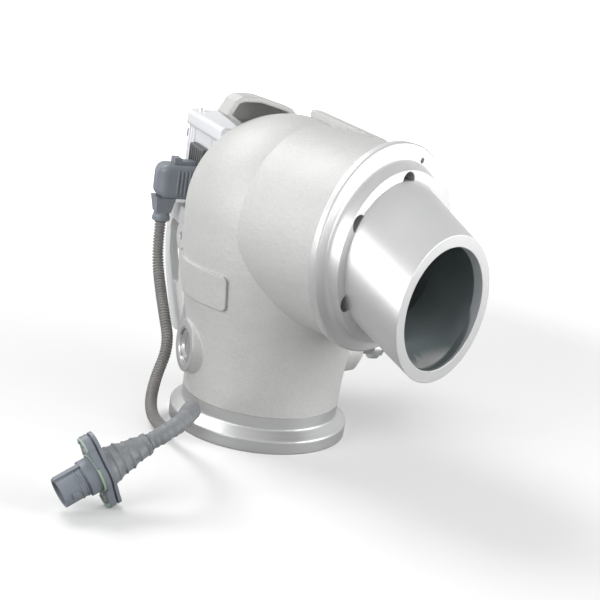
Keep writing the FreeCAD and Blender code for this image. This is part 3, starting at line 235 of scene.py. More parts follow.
def round_edges(shape, edges, offset, segments=2):
    bmesh.ops.bevel(shape, geom=edges, offset=offset, affect="EDGES", segments=segments, profile=0.5,
                    material=-1)


# %% [markdown]
# The conduit is a split corrugated tube. Its ribs are a few millimetres apart.
# A ring of points is extruded along the line, and every ring takes the next radius of the rib's shape.
# The rubber sleeve is made the same way, with radii and tilts that wander as a pulled sleeve's do.

# %% Tube helper
def even_stations(points, spacing, start=0.0, end=None):
    """Places at even spacing along a line, each with the line's direction there."""
    lengths = [0.0]
    for a, b in zip(points, points[1:]):
        lengths.append(lengths[-1] + (b - a).length)
    end = lengths[-1] if end is None else end
    count = max(2, round((end - start) / spacing))
    stations = []
    index = 0
    for k in range(count + 1):
        wanted = start + (end - start) * k / count
        while index < len(points) - 2 and lengths[index + 1] < wanted:
            index += 1
        share = (wanted - lengths[index]) / (lengths[index + 1] - lengths[index])
        place = points[index].lerp(points[index + 1], share)
        before = points[max(index - 1, 0)]
        after = points[min(index + 2, len(points) - 1)]
        stations.append((place, (after - before).normalized()))
    return stations


def tube_through(stations, radii, segments=20, tilts=None):
    """A closed tube with its own radius at each station."""
    shape = bmesh.new()
    across = stations[0][1].orthogonal().normalized()
    frames = []
    for number, (place, direction) in enumerate(stations):
        heading = direction if tilts is None else (direction + tilts[number]).normalized()
        across = (across - heading * across.dot(heading)).normalized()
        side = heading.cross(across)
        turn = Matrix((across, side, heading)).transposed().to_4x4()
        frames.append(Matrix.Translation(place) @ turn @ Matrix.Scale(radii[number], 4))
    ring = bmesh.ops.create_circle(shape, cap_ends=False, segments=segments, radius=1,
                                   matrix=frames[0])["verts"]
    ring_edges = edges_of(ring)
    for last, now in zip(frames, frames[1:]):
        grown = bmesh.ops.extrude_edge_only(shape, edges=ring_edges)["geom"]
        ring = [g for g in grown if isinstance(g, bmesh.types.BMVert)]
        new_ring = set(ring)
        ring_edges = [g for g in grown if isinstance(g, bmesh.types.BMEdge) and set(g.verts) <= new_ring]
        bmesh.ops.transform(shape, matrix=now @ last.inverted(), verts=ring)
    bmesh.ops.holes_fill(shape, edges=[e for e in shape.edges if e.is_boundary], sides=0)
    return shape


# %% Corrugated conduit
rib_pitch = 0.0026
rib_valley_r = 0.0039
rib_shape = [rib_valley_r, rib_valley_r, conduit_r, conduit_r]
conduit_stations = even_stations(line_points, rib_pitch / len(rib_shape))
conduit_radii = [rib_shape[k % len(rib_shape)] for k in range(len(conduit_stations))]
conduit = finish_piece("corrugated_conduit", tube_through(conduit_stations, conduit_radii),
                       "conduit_plastic", replaced=["harness_conduit"])

# %% Wrinkled sleeve over the conduit's last stretch
sleeve_length = 0.052
sleeve_r = 0.0062
sleeve_step = 0.0011
sleeve_end_gap = 0.0005
sleeve_stations = even_stations(line_points, sleeve_step, start=line_length - sleeve_length,
                                end=line_length - sleeve_end_gap)
wrinkle = random.Random(7)
wrinkle_depth = 0.00012
wrinkle_tilt = 0.05
sleeve_radii = []
sleeve_tilts = []
for number in range(len(sleeve_stations)):
    short_fold = math.sin(number * 1.35) * 0.00025
    long_fold = math.sin(number * 0.52 + 1.0) * 0.00022
    sleeve_radii.append(sleeve_r + short_fold + long_fold + wrinkle.uniform(-wrinkle_depth, wrinkle_depth))
    sleeve_tilts.append(Vector([wrinkle.uniform(-wrinkle_tilt, wrinkle_tilt) for _ in range(3)]))
finish_piece("wrinkled_sleeve", tube_through(sleeve_stations, sleeve_radii, 28, sleeve_tilts),
             "black_rubber", replaced=["conduit_sleeve"])

# %% [markdown]
# The connector ends the cord: a rubber boot, an oblong flange with a green seal, and a round nose.
# The boot is turned from one profile, with grip ridges near the flange and a lip at the conduit.
# Two metal sleeves line the flange's screw holes, so that the screws don't crush the plastic.
# Sizes here are in millimetres along and across the connector, from the middle of its flange.

# %% Rubber boot
boot_front = -4.6
boot_profile = [
    (-38.5, 0.0), (-38.5, 7.6), (-37.8, 8.3), (-35.6, 8.5), (-34.8, 7.9), (-30.0, 8.7),
    (-28.6, 9.6), (-27.2, 9.0), (-23.5, 10.0), (-22.1, 11.0), (-20.7, 10.3), (-17.0, 11.4),
    (-15.6, 12.3), (-14.2, 11.6), (-11.0, 12.6), (-9.6, 13.6), (-8.2, 13.2), (-6.4, 13.8),
    (boot_front, 14.0), (boot_front, 0.0),
]
boot_dent = 0.35
boot_roughness = 0.06
dent_fade = 4
boot = bmesh.new()
spun(boot, boot_profile, 56)
uneven = random.Random(11)
for vert in boot.verts:
    radius = math.hypot(vert.co.x, vert.co.z)
    if radius > 1:
        turn = math.atan2(vert.co.z, vert.co.x)
        broad_dent = boot_dent * math.sin(3 * turn + vert.co.y * 0.5)
        small_dent = 0.2 * math.sin(7 * turn - vert.co.y * 0.8)
        inward = broad_dent + small_dent - boot_dent + uneven.uniform(-boot_roughness, boot_roughness)
        share = 1 + inward / radius * min(1, (boot_front - vert.co.y) / dent_fade)
        vert.co.x *= share
        vert.co.z *= share
finish_piece("connector_boot", boot, "black_rubber", replaced=["connector_backshell"], place=connector_frame)

# %% Screw sleeves in the connector's flange
flange_half = 4.5
screw_reach = 21.3
sleeve_half = flange_half + 0.2
sleeve_bore_r = 2.5
sleeve_outer_r = 3.2
sleeves = bmesh.new()
sleeve_profile = [(-sleeve_half, sleeve_bore_r), (-sleeve_half, sleeve_outer_r),
                  (sleeve_half, sleeve_outer_r), (sleeve_half, sleeve_bore_r), (-sleeve_half, sleeve_bore_r)]
for sign in (-1, 1):
    spun(sleeves, sleeve_profile, 28, Matrix.Translation((0, 0, sign * screw_reach)))
finish_piece("connector_screw_sleeves", sleeves, "zinc_steel", place=connector_frame)

# %% Green seal, seen at both ends of the flange
seal_end_r = 7.4
seal_lip_r = 1.1
lip_along = flange_half + 0.1
lip_steps = 24
for side, label in ((-1, "low"), (1, "high")):
    lip_points = []
    for k in range(lip_steps + 1):
        angle = math.radians(10 + 160 * k / lip_steps)
        across = seal_end_r * math.cos(angle)
        up = side * (screw_reach + seal_end_r * math.sin(angle))
        lip_points.append(connector_frame @ Vector((across, lip_along, up)))
    lip_stations = even_stations(lip_points, 0.0012)
    lip = tube_through(lip_stations, [seal_lip_r * millimetre] * len(lip_stations), 12)
    finish_piece("seal_lip_" + label, lip, "green_seal")

face_seal_profile = [(2.8, 13.35), (2.8, 15.0), (4.6, 14.8), (4.6, 13.5), (2.8, 13.35)]
flush_seal = bmesh.new()
spun(flush_seal, face_seal_profile, 56)
finish_piece("flange_face_seal", flush_seal, "green_seal", replaced=["flange_seal"], place=connector_frame)

# %% Latch bumps and grip rings on the nose
nose = bmesh.new()
nose_r = 11.0
grip_foot_r = nose_r - 0.6
grip_top_r = nose_r + 0.55
for start in (13.6, 17.4):
    spun(nose, [(start, grip_foot_r), (start + 0.5, grip_top_r), (start + 1.3, grip_top_r),
                (start + 1.8, grip_foot_r), (start, grip_foot_r)], 48)
bump_along = 23.5
bump_size = (5, 5, 1.8)
for turn in (95, 265):
    bump_place = (Matrix.Rotation(math.radians(turn), 4, "Y")
                  @ Matrix.Translation((0, bump_along, nose_r + 0.2)) @ Matrix.Diagonal((*bump_size, 1)))
    bump = bmesh.ops.create_cube(nose, size=1, matrix=bump_place)["verts"]
    round_edges(nose, edges_of(bump), 0.5)
finish_piece("connector_nose_grips", nose, "connector_plastic", place=connector_frame)

# %% [markdown]
# Bolts hold the bracket, the actuator and its cover. The real ones have a hexagon or a socket head.
# Each head starts as a cone of six or more sides; an inset and a push make its hollow, a bevel its edges.
# They replace the plain cylinders of the frame, so they keep those places and sizes.

# %% Bolt helpers
def hollow_top(shape, verts, share, depth):
    """Sink the middle of a head's top face."""
    top = max((f for f in {f for v in verts for f in v.link_faces} if f.normal.z > 0.9),
              key=lambda f: f.calc_center_median().z)
    radius = math.sqrt(top.calc_area() / math.pi)
    bmesh.ops.inset_region(shape, faces=[top], thickness=radius * (1 - share), depth=0)
    bmesh.ops.inset_region(shape, faces=[top], thickness=radius * 0.04, depth=-depth)


def bolt(shape, place, direction, head_r, head_height, shank_r, shank_length, sides):
    """A bolt whose head stands on a place and points along a direction, in the valve's directions."""
    fresh = bmesh.new()
    is_hexagon = sides == 6
    if is_hexagon:
        washer_height = head_height * 0.3
        bmesh.ops.create_cone(fresh, cap_ends=True, segments=36, radius1=head_r, radius2=head_r * 0.9,
                              depth=washer_height, matrix=Matrix.Translation((0, 0, washer_height / 2)))
        hex_r, low = head_r * 0.84, washer_height * 0.9
    else:
        hex_r, low = head_r, 0.0
    height = head_height - low
    head = bmesh.ops.create_cone(fresh, cap_ends=True, segments=sides, radius1=hex_r, radius2=hex_r,
                                 depth=height, matrix=Matrix.Translation((0, 0, low + height / 2)))["verts"]
    fresh.normal_update()
    top_edges = [e for e in edges_of(head) if min(v.co.z for v in e.verts) > head_height - 0.01]
    round_edges(fresh, top_edges, head_r * 0.09)
    fresh.normal_update()
    tops = [v for v in fresh.verts if v.co.z > head_height - 0.05]
    hollow_top(fresh, tops, 0.55, head_height * (0.3 if is_hexagon else 0.6))
    bmesh.ops.create_cone(fresh, cap_ends=True, segments=20, radius1=shank_r * 0.9, radius2=shank_r,
                          depth=shank_length, matrix=Matrix.Translation((0, 0, 0.2 - shank_length / 2)))
    way = Matrix.Translation(Vector(place)) @ turn_between((0, 0, 1), direction)
    bmesh.ops.transform(fresh, matrix=way, verts=fresh.verts)
    holder = bpy.data.meshes.new("bolt")
    fresh.to_mesh(holder)
    fresh.free()
    shape.from_mesh(holder)
    bpy.data.meshes.remove(holder)


# %% Bracket, actuator and cover bolts
large_hexagon = {"head_r": 6.5, "head_height": 5.0, "shank_r": 4.0, "sides": 6}
small_hexagon = {"head_r": 5.0, "head_height": 4.0, "shank_r": 3.0, "sides": 6}
socket_head = {"head_r": 3.8, "head_height": 3.0, "shank_r": 2.0, "sides": 24}
low_socket_head = {"head_r": 3.6, "head_height": 2.6, "shank_r": 2.0, "sides": 24}
bolt_side = 30
bracket_face = 84
bracket_underside = 153
plate_top = 237
cover_face = -70

foot_bolts = bmesh.new()
for side in (-bolt_side, bolt_side):
    for up in (64, 94):
        bolt(foot_bolts, (bracket_face, side, up), (1, 0, 0), shank_length=21.5, **large_hexagon)
finish_piece("hex_foot_bolts", foot_bolts, "zinc_steel", replaced=["foot_bolts"], place=valve_frame)

case_bolts = bmesh.new()
case_bolt_out = (97, 137)
for out in case_bolt_out:
    for side in (-bolt_side, bolt_side):
        bolt(case_bolts, (out, side, bracket_underside), (0, 0, -1), shank_length=14.5, **small_hexagon)
finish_piece("hex_case_bolts", case_bolts, "zinc_steel", replaced=["case_bolts"], place=valve_frame)

tab_bolts = bmesh.new()
tab_bolt_out = 79
for side in (-13, 13):
    bolt(tab_bolts, (tab_bolt_out, side, plate_top), (0, 0, 1), shank_length=25.5, **small_hexagon)
finish_piece("hex_tab_bolts", tab_bolts, "zinc_steel", replaced=["tab_bolts"], place=valve_frame)

cover_screws = bmesh.new()
for out, up in [(89.5, 164.5), (144.5, 164.5), (89.5, 231.5), (144.5, 231.5), (117, 163), (117, 233)]:
    bolt(cover_screws, (out, cover_face, up), (0, -1, 0), shank_length=15.5, **socket_head)
finish_piece("socket_cover_screws", cover_screws, "zinc_steel", replaced=["cover_screws"], place=valve_frame)

# %% [markdown]
# The link's locknuts are hexagons on the rod's threads. A nut is a six-sided cone with its corners cut.
# They ride on the link, so they swing with it.

# %% Link locknuts
link_low = Vector((27.914, -107.8, 68.197))
link_rise = Vector((112, 0, 117))
link_way = link_rise.normalized()
nut_r = 5.4
nut_height = 4.0
nut_start = 14.0
locknuts = bmesh.new()
for along in (nut_start, link_rise.length - nut_start - nut_height):
    nut_middle = link_low + link_way * (along + nut_height / 2)
    middle = Matrix.Translation(nut_middle) @ turn_between((0, 0, 1), link_way)
    nut = bmesh.ops.create_cone(locknuts, cap_ends=True, segments=6, radius1=nut_r, radius2=nut_r,
                                depth=nut_height, matrix=middle)["verts"]
    rims = [e for e in edges_of(nut) if abs((e.verts[0].co - e.verts[1].co).dot(link_way)) < 0.1]
    round_edges(locknuts, rims, 0.5, segments=1)
finish_piece("hex_locknuts", locknuts, "zinc_steel", "link", ["link_locknuts"], valve_frame)

# %% [markdown]
# The actuator's housing is a pressure die casting, stiffened by thin ribs wherever its walls are flat.
# Ribs are blocks with a slight taper and rounded edges, set into the wall so that no gap shows.

# %% Rib helper and the housing's ribs
def rib(shape, low, high, taper=0.0, edge=0.6):
    """A block between two corners, narrowed at its top and with rounded edges."""
    low, high = Vector(low), Vector(high)
    size = high - low
    middle = Matrix.Translation((low + high) / 2) @ Matrix.Diagonal((*size, 1))
    verts = bmesh.ops.create_cube(shape, size=1, matrix=middle)["verts"]
    if taper:
        tops = [v for v in verts if v.co.x > (low.x + high.x) / 2]
        bmesh.ops.scale(shape, vec=(1, 1 - taper, 1 - taper * 0.3), verts=tops,
                        space=Matrix.Translation(-(low + high) / 2))
    round_edges(shape, edges_of(verts), edge)


back_wall = 144
front_wall = 90
side_wall = 39.5
back_rib_half, front_rib_half, side_rib_half = 1.5, 1.6, 1.3
ribs = bmesh.new()
for side in (-30, -18, -6, 6, 18, 30):
    rib(ribs, (back_wall, side - back_rib_half, 168), (149.4, side + back_rib_half, 221), taper=0.25)
rib(ribs, (back_wall + 0.5, -38, 193), (148.4, 38, 196), taper=0.1)
for side in (19, 37.4):
    for reach, low, high in ((77.5, 200, 224), (82.5, 172, 203)):
        rib(ribs, (reach, side - front_rib_half, low), (front_wall, side + front_rib_half, high), edge=0.8)
for out in (129, 135.5, 142):
    rib(ribs, (out - side_rib_half, side_wall, 166), (out + side_rib_half, 43.6, 223.5), edge=0.7)
finish_piece("housing_ribs", ribs, "actuator_case", place=valve_frame)

# %% Cable clip and top plate screws
fittings = bmesh.new()
rib(fittings, (147.5, 36.0, 216.5), (152.8, 41.5, 219.0), edge=0.7)
rib(fittings, (150.3, 36.0, 211.5), (152.8, 41.5, 218.5), edge=0.7)
finish_piece("cable_clip", fittings, "socket_plastic", place=valve_frame)

plate_screws = bmesh.new()
plate_screw_out = 139
for side in (35, -14):
    bolt(plate_screws, (plate_screw_out, side, plate_top), (0, 0, 1), shank_length=8, **low_socket_head)
finish_piece("top_plate_screws", plate_screws, "zinc_steel", place=valve_frame)

# %% Gasket between the housing and its cover
gasket = bmesh.new()
gasket_half = (33.2, 39.2)
gasket_corner = 9.2
gasket_middle = (117, 198)
gasket_width = 2.6
gasket_start = -65.6
gasket_thickness = 0.8
corner_steps = 8
outline = []
for quarter, (sign_out, sign_up) in enumerate(((1, 1), (-1, 1), (-1, -1), (1, -1))):
    corner_out = gasket_middle[0] + sign_out * (gasket_half[0] - gasket_corner)
    corner_up = gasket_middle[1] + sign_up * (gasket_half[1] - gasket_corner)
    for k in range(corner_steps + 1):
        angle = math.radians(90 * quarter + 90 * k / corner_steps)
        out = corner_out + gasket_corner * math.cos(angle)
        up = corner_up + gasket_corner * math.sin(angle)
        outline.append(gasket.verts.new((out, gasket_start, up)))
sheet = bmesh.ops.contextual_create(gasket, geom=outline)["faces"]
bmesh.ops.inset_region(gasket, faces=sheet, thickness=gasket_width, depth=0, use_boundary=True)
bmesh.ops.delete(gasket, geom=sheet, context="FACES")
thick = bmesh.ops.extrude_face_region(gasket, geom=list(gasket.faces))["geom"]
moved = [g for g in thick if isinstance(g, bmesh.types.BMVert)]
bmesh.ops.translate(gasket, vec=(0, -gasket_thickness, 0), verts=moved)
finish_piece("cover_gasket", gasket, "black_rubber", place=valve_frame)

# %% [markdown]
# The socket on the actuator has dark ribs above its shroud, where the mould needed even walls.
# The plug over it has finger grips on both cheeks, and a collar where the conduit snaps in.

# %% Socket ribs
socket_ribs = bmesh.new()
socket_wall = 43.2
socket_rib_half = 1.1
for number in range(7):
    out = 90 + 5.3 * number
    rib(socket_ribs, (out - socket_rib_half, socket_wall, 195),
        (out + socket_rib_half, 47.5, 210.5), edge=0.5)
rib(socket_ribs, (88.5, socket_wall, 208.8), (123.5, 46.8, 211.4), edge=0.5)
finish_piece("socket_ribs", socket_ribs, "socket_plastic", place=valve_frame)

# %% Plug grips and conduit collar
grips = bmesh.new()
grip_half = 0.9
for number in range(5):
    side = 50 + 3.4 * number
    for out in (93.6, 118.4):
        rib(grips, (out - grip_half, side - grip_half, 169),
            (out + grip_half, side + grip_half, 190.5), edge=0.5)
rib(grips, (93.4, 46.2, 166.5), (118.6, 48.2, 194.6), edge=0.6)
finish_piece("plug_grips", grips, "plug_plastic", place=valve_frame)

collar = bmesh.new()
collar_profile = [(0.2, 5.1), (0.2, 7.2), (0.9, 7.8), (3.6, 7.8), (4.4, 7.2), (6.2, 7.0), (6.2, 5.1),
                  (0.2, 5.1)]
spun(collar, collar_profile, 36, Matrix.Translation(plug_mouth) @ turn_between((0, 1, 0), (0, 0, 1)))
finish_piece("conduit_collar", collar, "plug_plastic", place=valve_frame)

# %% [markdown]
# The near end of the valve's shaft is closed by a cup plug, held by a snap ring in its bore.
# The ring is round wire with a gap, so it is a tube through points on an open circle.

# %% Snap ring in the near boss
ring_r = 14.2
ring_side = 72.1
ring_wire_r = 0.00075
shaft_height = 66
ring_steps = 48
ring_points = []
for k in range(ring_steps + 1):
    angle = math.radians(20 + 320 * k / ring_steps)
    place = Vector((ring_r * math.cos(angle), ring_side, shaft_height + ring_r * math.sin(angle)))
    ring_points.append(valve_frame @ place)
ring_stations = even_stations(ring_points, 0.0016)
snap_ring = tube_through(ring_stations, [ring_wire_r] * len(ring_stations), 12)
finish_piece("plug_snap_ring", snap_ring, "shaft_steel")

# %% [markdown]
# Finishes are procedural. One small class wraps a value of the node tree, so that shader maths reads as
# Python: an expression on two values adds its Math nodes. Colours go through one Mix helper.

# %% Shader helpers
def connect(tree, plug, value):
    if isinstance(value, Wire):
        tree.links.new(value.socket, plug)
    else:
        plug.default_value = value


class Wire:
    """A value in a material's tree; arithmetic on it adds Math nodes."""

    def __init__(self, tree, socket):
        self.tree = tree
        self.socket = socket

    def maths(self, operation, *values):
        node = self.tree.nodes.new("ShaderNodeMath")
        node.operation = operation
        for plug, value in zip(node.inputs, values):
            connect(self.tree, plug, value)
        return Wire(self.tree, node.outputs[0])

    def __add__(self, other):
        return self.maths("ADD", self, other)

    def __sub__(self, other):
        return self.maths("SUBTRACT", self, other)

    def __rsub__(self, other):
        return self.maths("SUBTRACT", other, self)

    def __mul__(self, other):
        return self.maths("MULTIPLY", self, other)

    def __truediv__(self, other):
        return self.maths("DIVIDE", self, other)

    def __pow__(self, power):
        return self.maths("POWER", self, power)

    __radd__ = __add__
    __rmul__ = __mul__

    def larger(self, other):
        return self.maths("MAXIMUM", self, other)


class Finish:
    """A material being made, with its shader and one method for every other node."""

    def __init__(self, name, **sockets):
        self.material = bpy.data.materials.new(name)
        self.material.use_nodes = True
        self.tree = self.material.node_tree
        self.shader = self.tree.nodes["Principled BSDF"]
        for label, value in sockets.items():
            self.feed(label.replace("_", " ").title(), value)
        self.place = self.node("ShaderNodeTexCoord", output="Object")
        parts = self.tree.nodes.new("ShaderNodeSeparateXYZ")
        connect(self.tree, parts.inputs[0], self.place)
        self.x, self.y, self.z = [Wire(self.tree, s) for s in parts.outputs]

    def feed(self, label, value):
        connect(self.tree, self.shader.inputs[label], value)

    def node(self, kind, settings=None, inputs=None, output=0):
        node = self.tree.nodes.new(kind)
        for label, value in (settings or {}).items():
            setattr(node, label, value)
        for label, value in (inputs or {}).items():
            connect(self.tree, node.inputs[label], value)
        return Wire(self.tree, node.outputs[output])

    def noise(self, scale, detail=3.0, roughness=0.55, place=None):
        return self.node("ShaderNodeTexNoise", inputs={
            "Vector": place or self.place, "Scale": scale, "Detail": detail,
            "Roughness": roughness}, output="Fac")

    def lines(self, value, scale, detail=4.0):
        """Uneven lines across a distance, as a tool or a brush leaves."""
        return self.node("ShaderNodeTexNoise", {"noise_dimensions": "1D"}, {
            "W": value, "Scale": scale, "Detail": detail, "Roughness": 0.7}, "Fac")

    def stretched(self, scales):
        return self.node("ShaderNodeMapping", inputs={"Vector": self.place, "Scale": scales})

    def rise(self, value, low, high):
        """0 below low and 1 above high, or the other way round where low is the larger."""
        step = self.node("ShaderNodeMapRange", {"interpolation_type": "SMOOTHSTEP"}, {
            "Value": value, "From Min": min(low, high), "From Max": max(low, high)})
        return step if low < high else 1 - step

    def below(self, value, edge, blur=0.0004):
        """1 below an edge and 0 above it, over a soft step."""
        return self.rise(value, edge + blur, edge - blur)

    def above(self, value, edge, blur=0.0004):
        """1 above an edge and 0 below it, over a soft step."""
        return self.rise(value, edge - blur, edge + blur)

    def between(self, factor, first, second):
        """A colour between two colours."""
        node = self.tree.nodes.new("ShaderNodeMix")
        node.data_type = "RGBA"
        connect(self.tree, node.inputs[0], factor)
        for plug, colour in zip((node.inputs[6], node.inputs[7]), (first, second)):
            connect(self.tree, plug, colour if isinstance(colour, Wire) else (*colour, 1))
        return Wire(self.tree, node.outputs[2])

    def relief(self, height, depth, strength=1.0, rounding=0.0):
        """Bump of a given depth in metres, over edges that look rounded."""
        inputs = {"Height": height, "Distance": depth, "Strength": strength}
        if rounding:
            inputs["Normal"] = self.node("ShaderNodeBevel", {"samples": 6}, {"Radius": rounding})
        self.feed("Normal", self.node("ShaderNodeBump", inputs=inputs))


def length_of(a, b):
    return (a * a + b * b) ** 0.5


finishes = {}

# %% [markdown]
# The elbow is cast steel, blasted to an even pale grey. Its clamp rim and near boss face are turned.
# Blasting leaves a fine grain, and the casting under it is faintly lumpy, so two noises make the relief.
# Where the gas runs, a mask from the passage's own measures paints the wall dark, as shade inside the
# passage, and makes it duller.

# %% Cast body
cast = Finish("cast_body")
grain = cast.noise(1500, 2.0, 0.6)
blast = cast.noise(420, 3.0, 0.6)
lumps = cast.noise(45, 3.0)
patches = cast.noise(13, 3.0)
shaft_side = cast.x * -math.sin(valve_azimuth) + cast.y * math.cos(valve_azimuth)
rim_top = 0.0272
boss_face_side = 0.07275
boss_top = 0.091
turned_rim = cast.below(cast.z, rim_top)
boss_face = cast.above(shaft_side, boss_face_side, 0.00015) * cast.below(cast.z, boss_top, 0.001)
turned_part = turned_rim.larger(boss_face)
axis_height = 0.179
leg_passage_r = 0.0608
leg_passage_top = 0.180
leg_widening_start = 0.132
leg_widening_slope = 0.36
bulb_passage_r = 0.0785
barrel_passage_r = 0.0752
barrel_passage_start = 0.032
standing_face = 0.0008
from_leg_axis = length_of(cast.x, cast.y)
over_axis = cast.z - axis_height
from_barrel_axis = length_of(cast.y, over_axis)
from_bulb_middle = length_of(from_leg_axis, over_axis)
leg_widening = (cast.z - leg_widening_start).larger(0.0) * leg_widening_slope
in_leg = cast.below(from_leg_axis - leg_widening, leg_passage_r) * cast.below(cast.z, leg_passage_top, 0.001)
in_bulb = cast.below(from_bulb_middle, bulb_passage_r, 0.0005)
in_barrel = cast.below(from_barrel_axis, barrel_passage_r) * cast.above(cast.x, barrel_passage_start, 0.002)
# mask of the passage walls, which are painted dark as shade below
gas_side = in_leg.larger(in_bulb).larger(in_barrel) * cast.above(cast.z, standing_face)
tool_lines = cast.lines(from_leg_axis + cast.z, 2600)
cast_colour = cast.between(patches * 0.5 + blast * 0.5, (0.440, 0.444, 0.430), (0.680, 0.682, 0.668))
cast_colour = cast.between(cast.rise(grain, 0.60, 0.78) * 0.35, cast_colour, (0.36, 0.36, 0.35))
turned_colour = cast.between(tool_lines, (0.56, 0.57, 0.57), (0.70, 0.70, 0.70))
# painted shade: a dark colour for the shade inside the elbow's passages
painted_passage_shade = cast.between(blast, (0.12, 0.14, 0.145), (0.21, 0.235, 0.24))
cast_colour = cast.between(turned_part, cast_colour, turned_colour)
cast_colour = cast.between(gas_side, cast_colour, painted_passage_shade)
cast.feed("Base Color", cast_colour)
cast.feed("Metallic", 0.30 + turned_part * 0.50 - gas_side * 0.2)
cast.feed("Roughness", 0.56 + (blast - 0.5) * 0.12 - turned_part * 0.20 + gas_side * 0.2)
rough_height = (grain * 0.35 + blast * 0.45 + lumps * 1.4) * (1 - turned_part * 0.9)
cast.relief(rough_height + tool_lines * turned_part * 0.10, 0.0006, 0.85, rounding=0.0022)
finishes["cast_body"] = cast

# %% [markdown]
# The inlet flange and its nozzle are turned and brushed. Lathe tools leave rings round the inlet's axis.
# The rings follow the distance from that axis plus the distance along it, so every face shows them.
# Inside, the nozzle's bore is painted darker grey-green as shade, and its land at the mouth is painted
# brighter where light falls into the mouth.

# %% Turned inlet
turned = Finish("machined_steel", anisotropic=0.35)
nozzle_start = 0.1156
nozzle_drop = 0.505
nozzle_taper = 0.118
flange_axis_height = 0.1745
flange_bore_r = 0.0565
bore_start = 0.1005
land_start = 0.1591
land_r = 0.0491
mouth_face = 0.1670
into_nozzle = (turned.x - nozzle_start).larger(0.0)
above_axis = turned.z - flange_axis_height + into_nozzle * nozzle_drop
from_inlet_axis = length_of(turned.y, above_axis)
wall_radius = flange_bore_r - into_nozzle * nozzle_taper
bore_side = turned.below(from_inlet_axis - wall_radius, 0.0002) * turned.above(turned.x, bore_start, 0.0005)
land = turned.above(turned.x, land_start, 0.0003) * turned.below(from_inlet_axis, land_r, 0.0003)
end_face = turned.above(turned.x, mouth_face, 0.00005)
bore_side = bore_side.larger(land) * (1 - end_face)
along_skin = from_inlet_axis + turned.x * 1.3
rings = turned.lines(along_skin, 1900, 5.0)
broad_rings = turned.lines(along_skin, 240, 2.0)
smears = turned.noise(26, 3.0)
bright = turned.between(rings * 0.6 + smears * 0.4, (0.58, 0.585, 0.59), (0.74, 0.74, 0.735))
# painted shade: a dark grey-green for the shade deep inside the nozzle's bore
bore_shade_and_land_light = turned.between(smears, (0.17, 0.205, 0.215), (0.27, 0.31, 0.315))
# painted light: the land at the mouth is painted brighter where light reaches into the nozzle
bore_shade_and_land_light = turned.between(land * 0.8, bore_shade_and_land_light, (0.66, 0.68, 0.70))
turned.feed("Base Color", turned.between(bore_side, bright, bore_shade_and_land_light))
turned.feed("Metallic", 0.72 - bore_side * 0.25)
turned.feed("Roughness", 0.35 + rings * 0.08 + smears * 0.06 + bore_side * 0.12)
turned.relief(rings * 0.5 + broad_rings, 0.00012, 0.45, rounding=0.0008)
finishes["machined_steel"] = turned

# %% [markdown]
# Shafts, pins, levers, gears and screws are all steel, and differ in tint, polish and grain.
# One recipe covers them: a base tint, fine scratches from a stretched noise, and cloudy handling marks.


# %% Plain metals
def metal(name, dark, light, roughness, grain_scale=900, depth=0.00008, metallic=1.0, rounding=0.0005):
    finish = Finish(name, metallic=metallic)
    scratches = finish.noise(grain_scale, 3.0, 0.6, finish.stretched((1.0, 1.0, 0.15)))
    clouds = finish.noise(60, 3.0)
    speckle = finish.noise(2400, 1.0)
    finish.feed("Base Color", finish.between(clouds * 0.6 + scratches * 0.4, dark, light))
    finish.feed("Roughness", roughness + (clouds - 0.5) * 0.14 + (scratches - 0.5) * 0.10)
    finish.relief(scratches + speckle * 0.4, depth, 0.5, rounding)
    finishes[name] = finish


metal("shaft_steel", (0.50, 0.50, 0.51), (0.68, 0.68, 0.68), 0.24)
metal("disc_steel", (0.28, 0.27, 0.25), (0.46, 0.45, 0.42), 0.38)
metal("zinc_steel", (0.62, 0.63, 0.65), (0.80, 0.81, 0.82), 0.30)
metal("bronze", (0.48, 0.34, 0.18), (0.68, 0.52, 0.30), 0.34)
metal("seal_steel", (0.38, 0.38, 0.38), (0.56, 0.56, 0.56), 0.32)
metal("gear_steel", (0.42, 0.42, 0.43), (0.60, 0.60, 0.61), 0.28)
metal("motor_steel", (0.40, 0.41, 0.43), (0.58, 0.59, 0.61), 0.34)
metal("magnet", (0.06, 0.06, 0.065), (0.13, 0.13, 0.135), 0.48, metallic=0.4)
metal("spring_steel", (0.20, 0.22, 0.30), (0.40, 0.41, 0.44), 0.30)
metal("contact_brass", (0.60, 0.47, 0.24), (0.80, 0.66, 0.38), 0.26)

# %% [markdown]
# The actuator and its bracket are aluminium die castings, shot blasted to a pale satin.
# They are lighter and finer in grain than the steel casting, with soft edges from the die.


# %% Pale die castings
def die_casting(name, dark, light, grain_scale, depth, metallic, rounding):
    finish = Finish(name, metallic=metallic)
    shot = finish.noise(grain_scale, 3.0, 0.6)
    skin = finish.noise(70, 3.0)
    flow = finish.noise(16, 2.0, 0.5, finish.stretched((1.0, 1.0, 0.35)))
    finish.feed("Base Color", finish.between(flow * 0.6 + shot * 0.4, dark, light))
    finish.feed("Roughness", 0.42 + (shot - 0.5) * 0.16 + (skin - 0.5) * 0.08)
    finish.relief(shot * 0.5 + skin, depth, 0.5, rounding)
    finishes[name] = finish


die_casting("actuator_case", (0.70, 0.71, 0.74), (0.86, 0.87, 0.89), 1300, 0.00040, 0.20, 0.0014)
die_casting("bracket_cast", (0.66, 0.67, 0.67), (0.80, 0.81, 0.81), 1000, 0.00040, 0.30, 0.0016)

# %% [markdown]
# Plastics and rubbers have almost no metal sheen. Moulded plastic carries a fine spark-eroded grain.
# Rubber is duller and picks up dust, which shows as a paler film in broad patches.


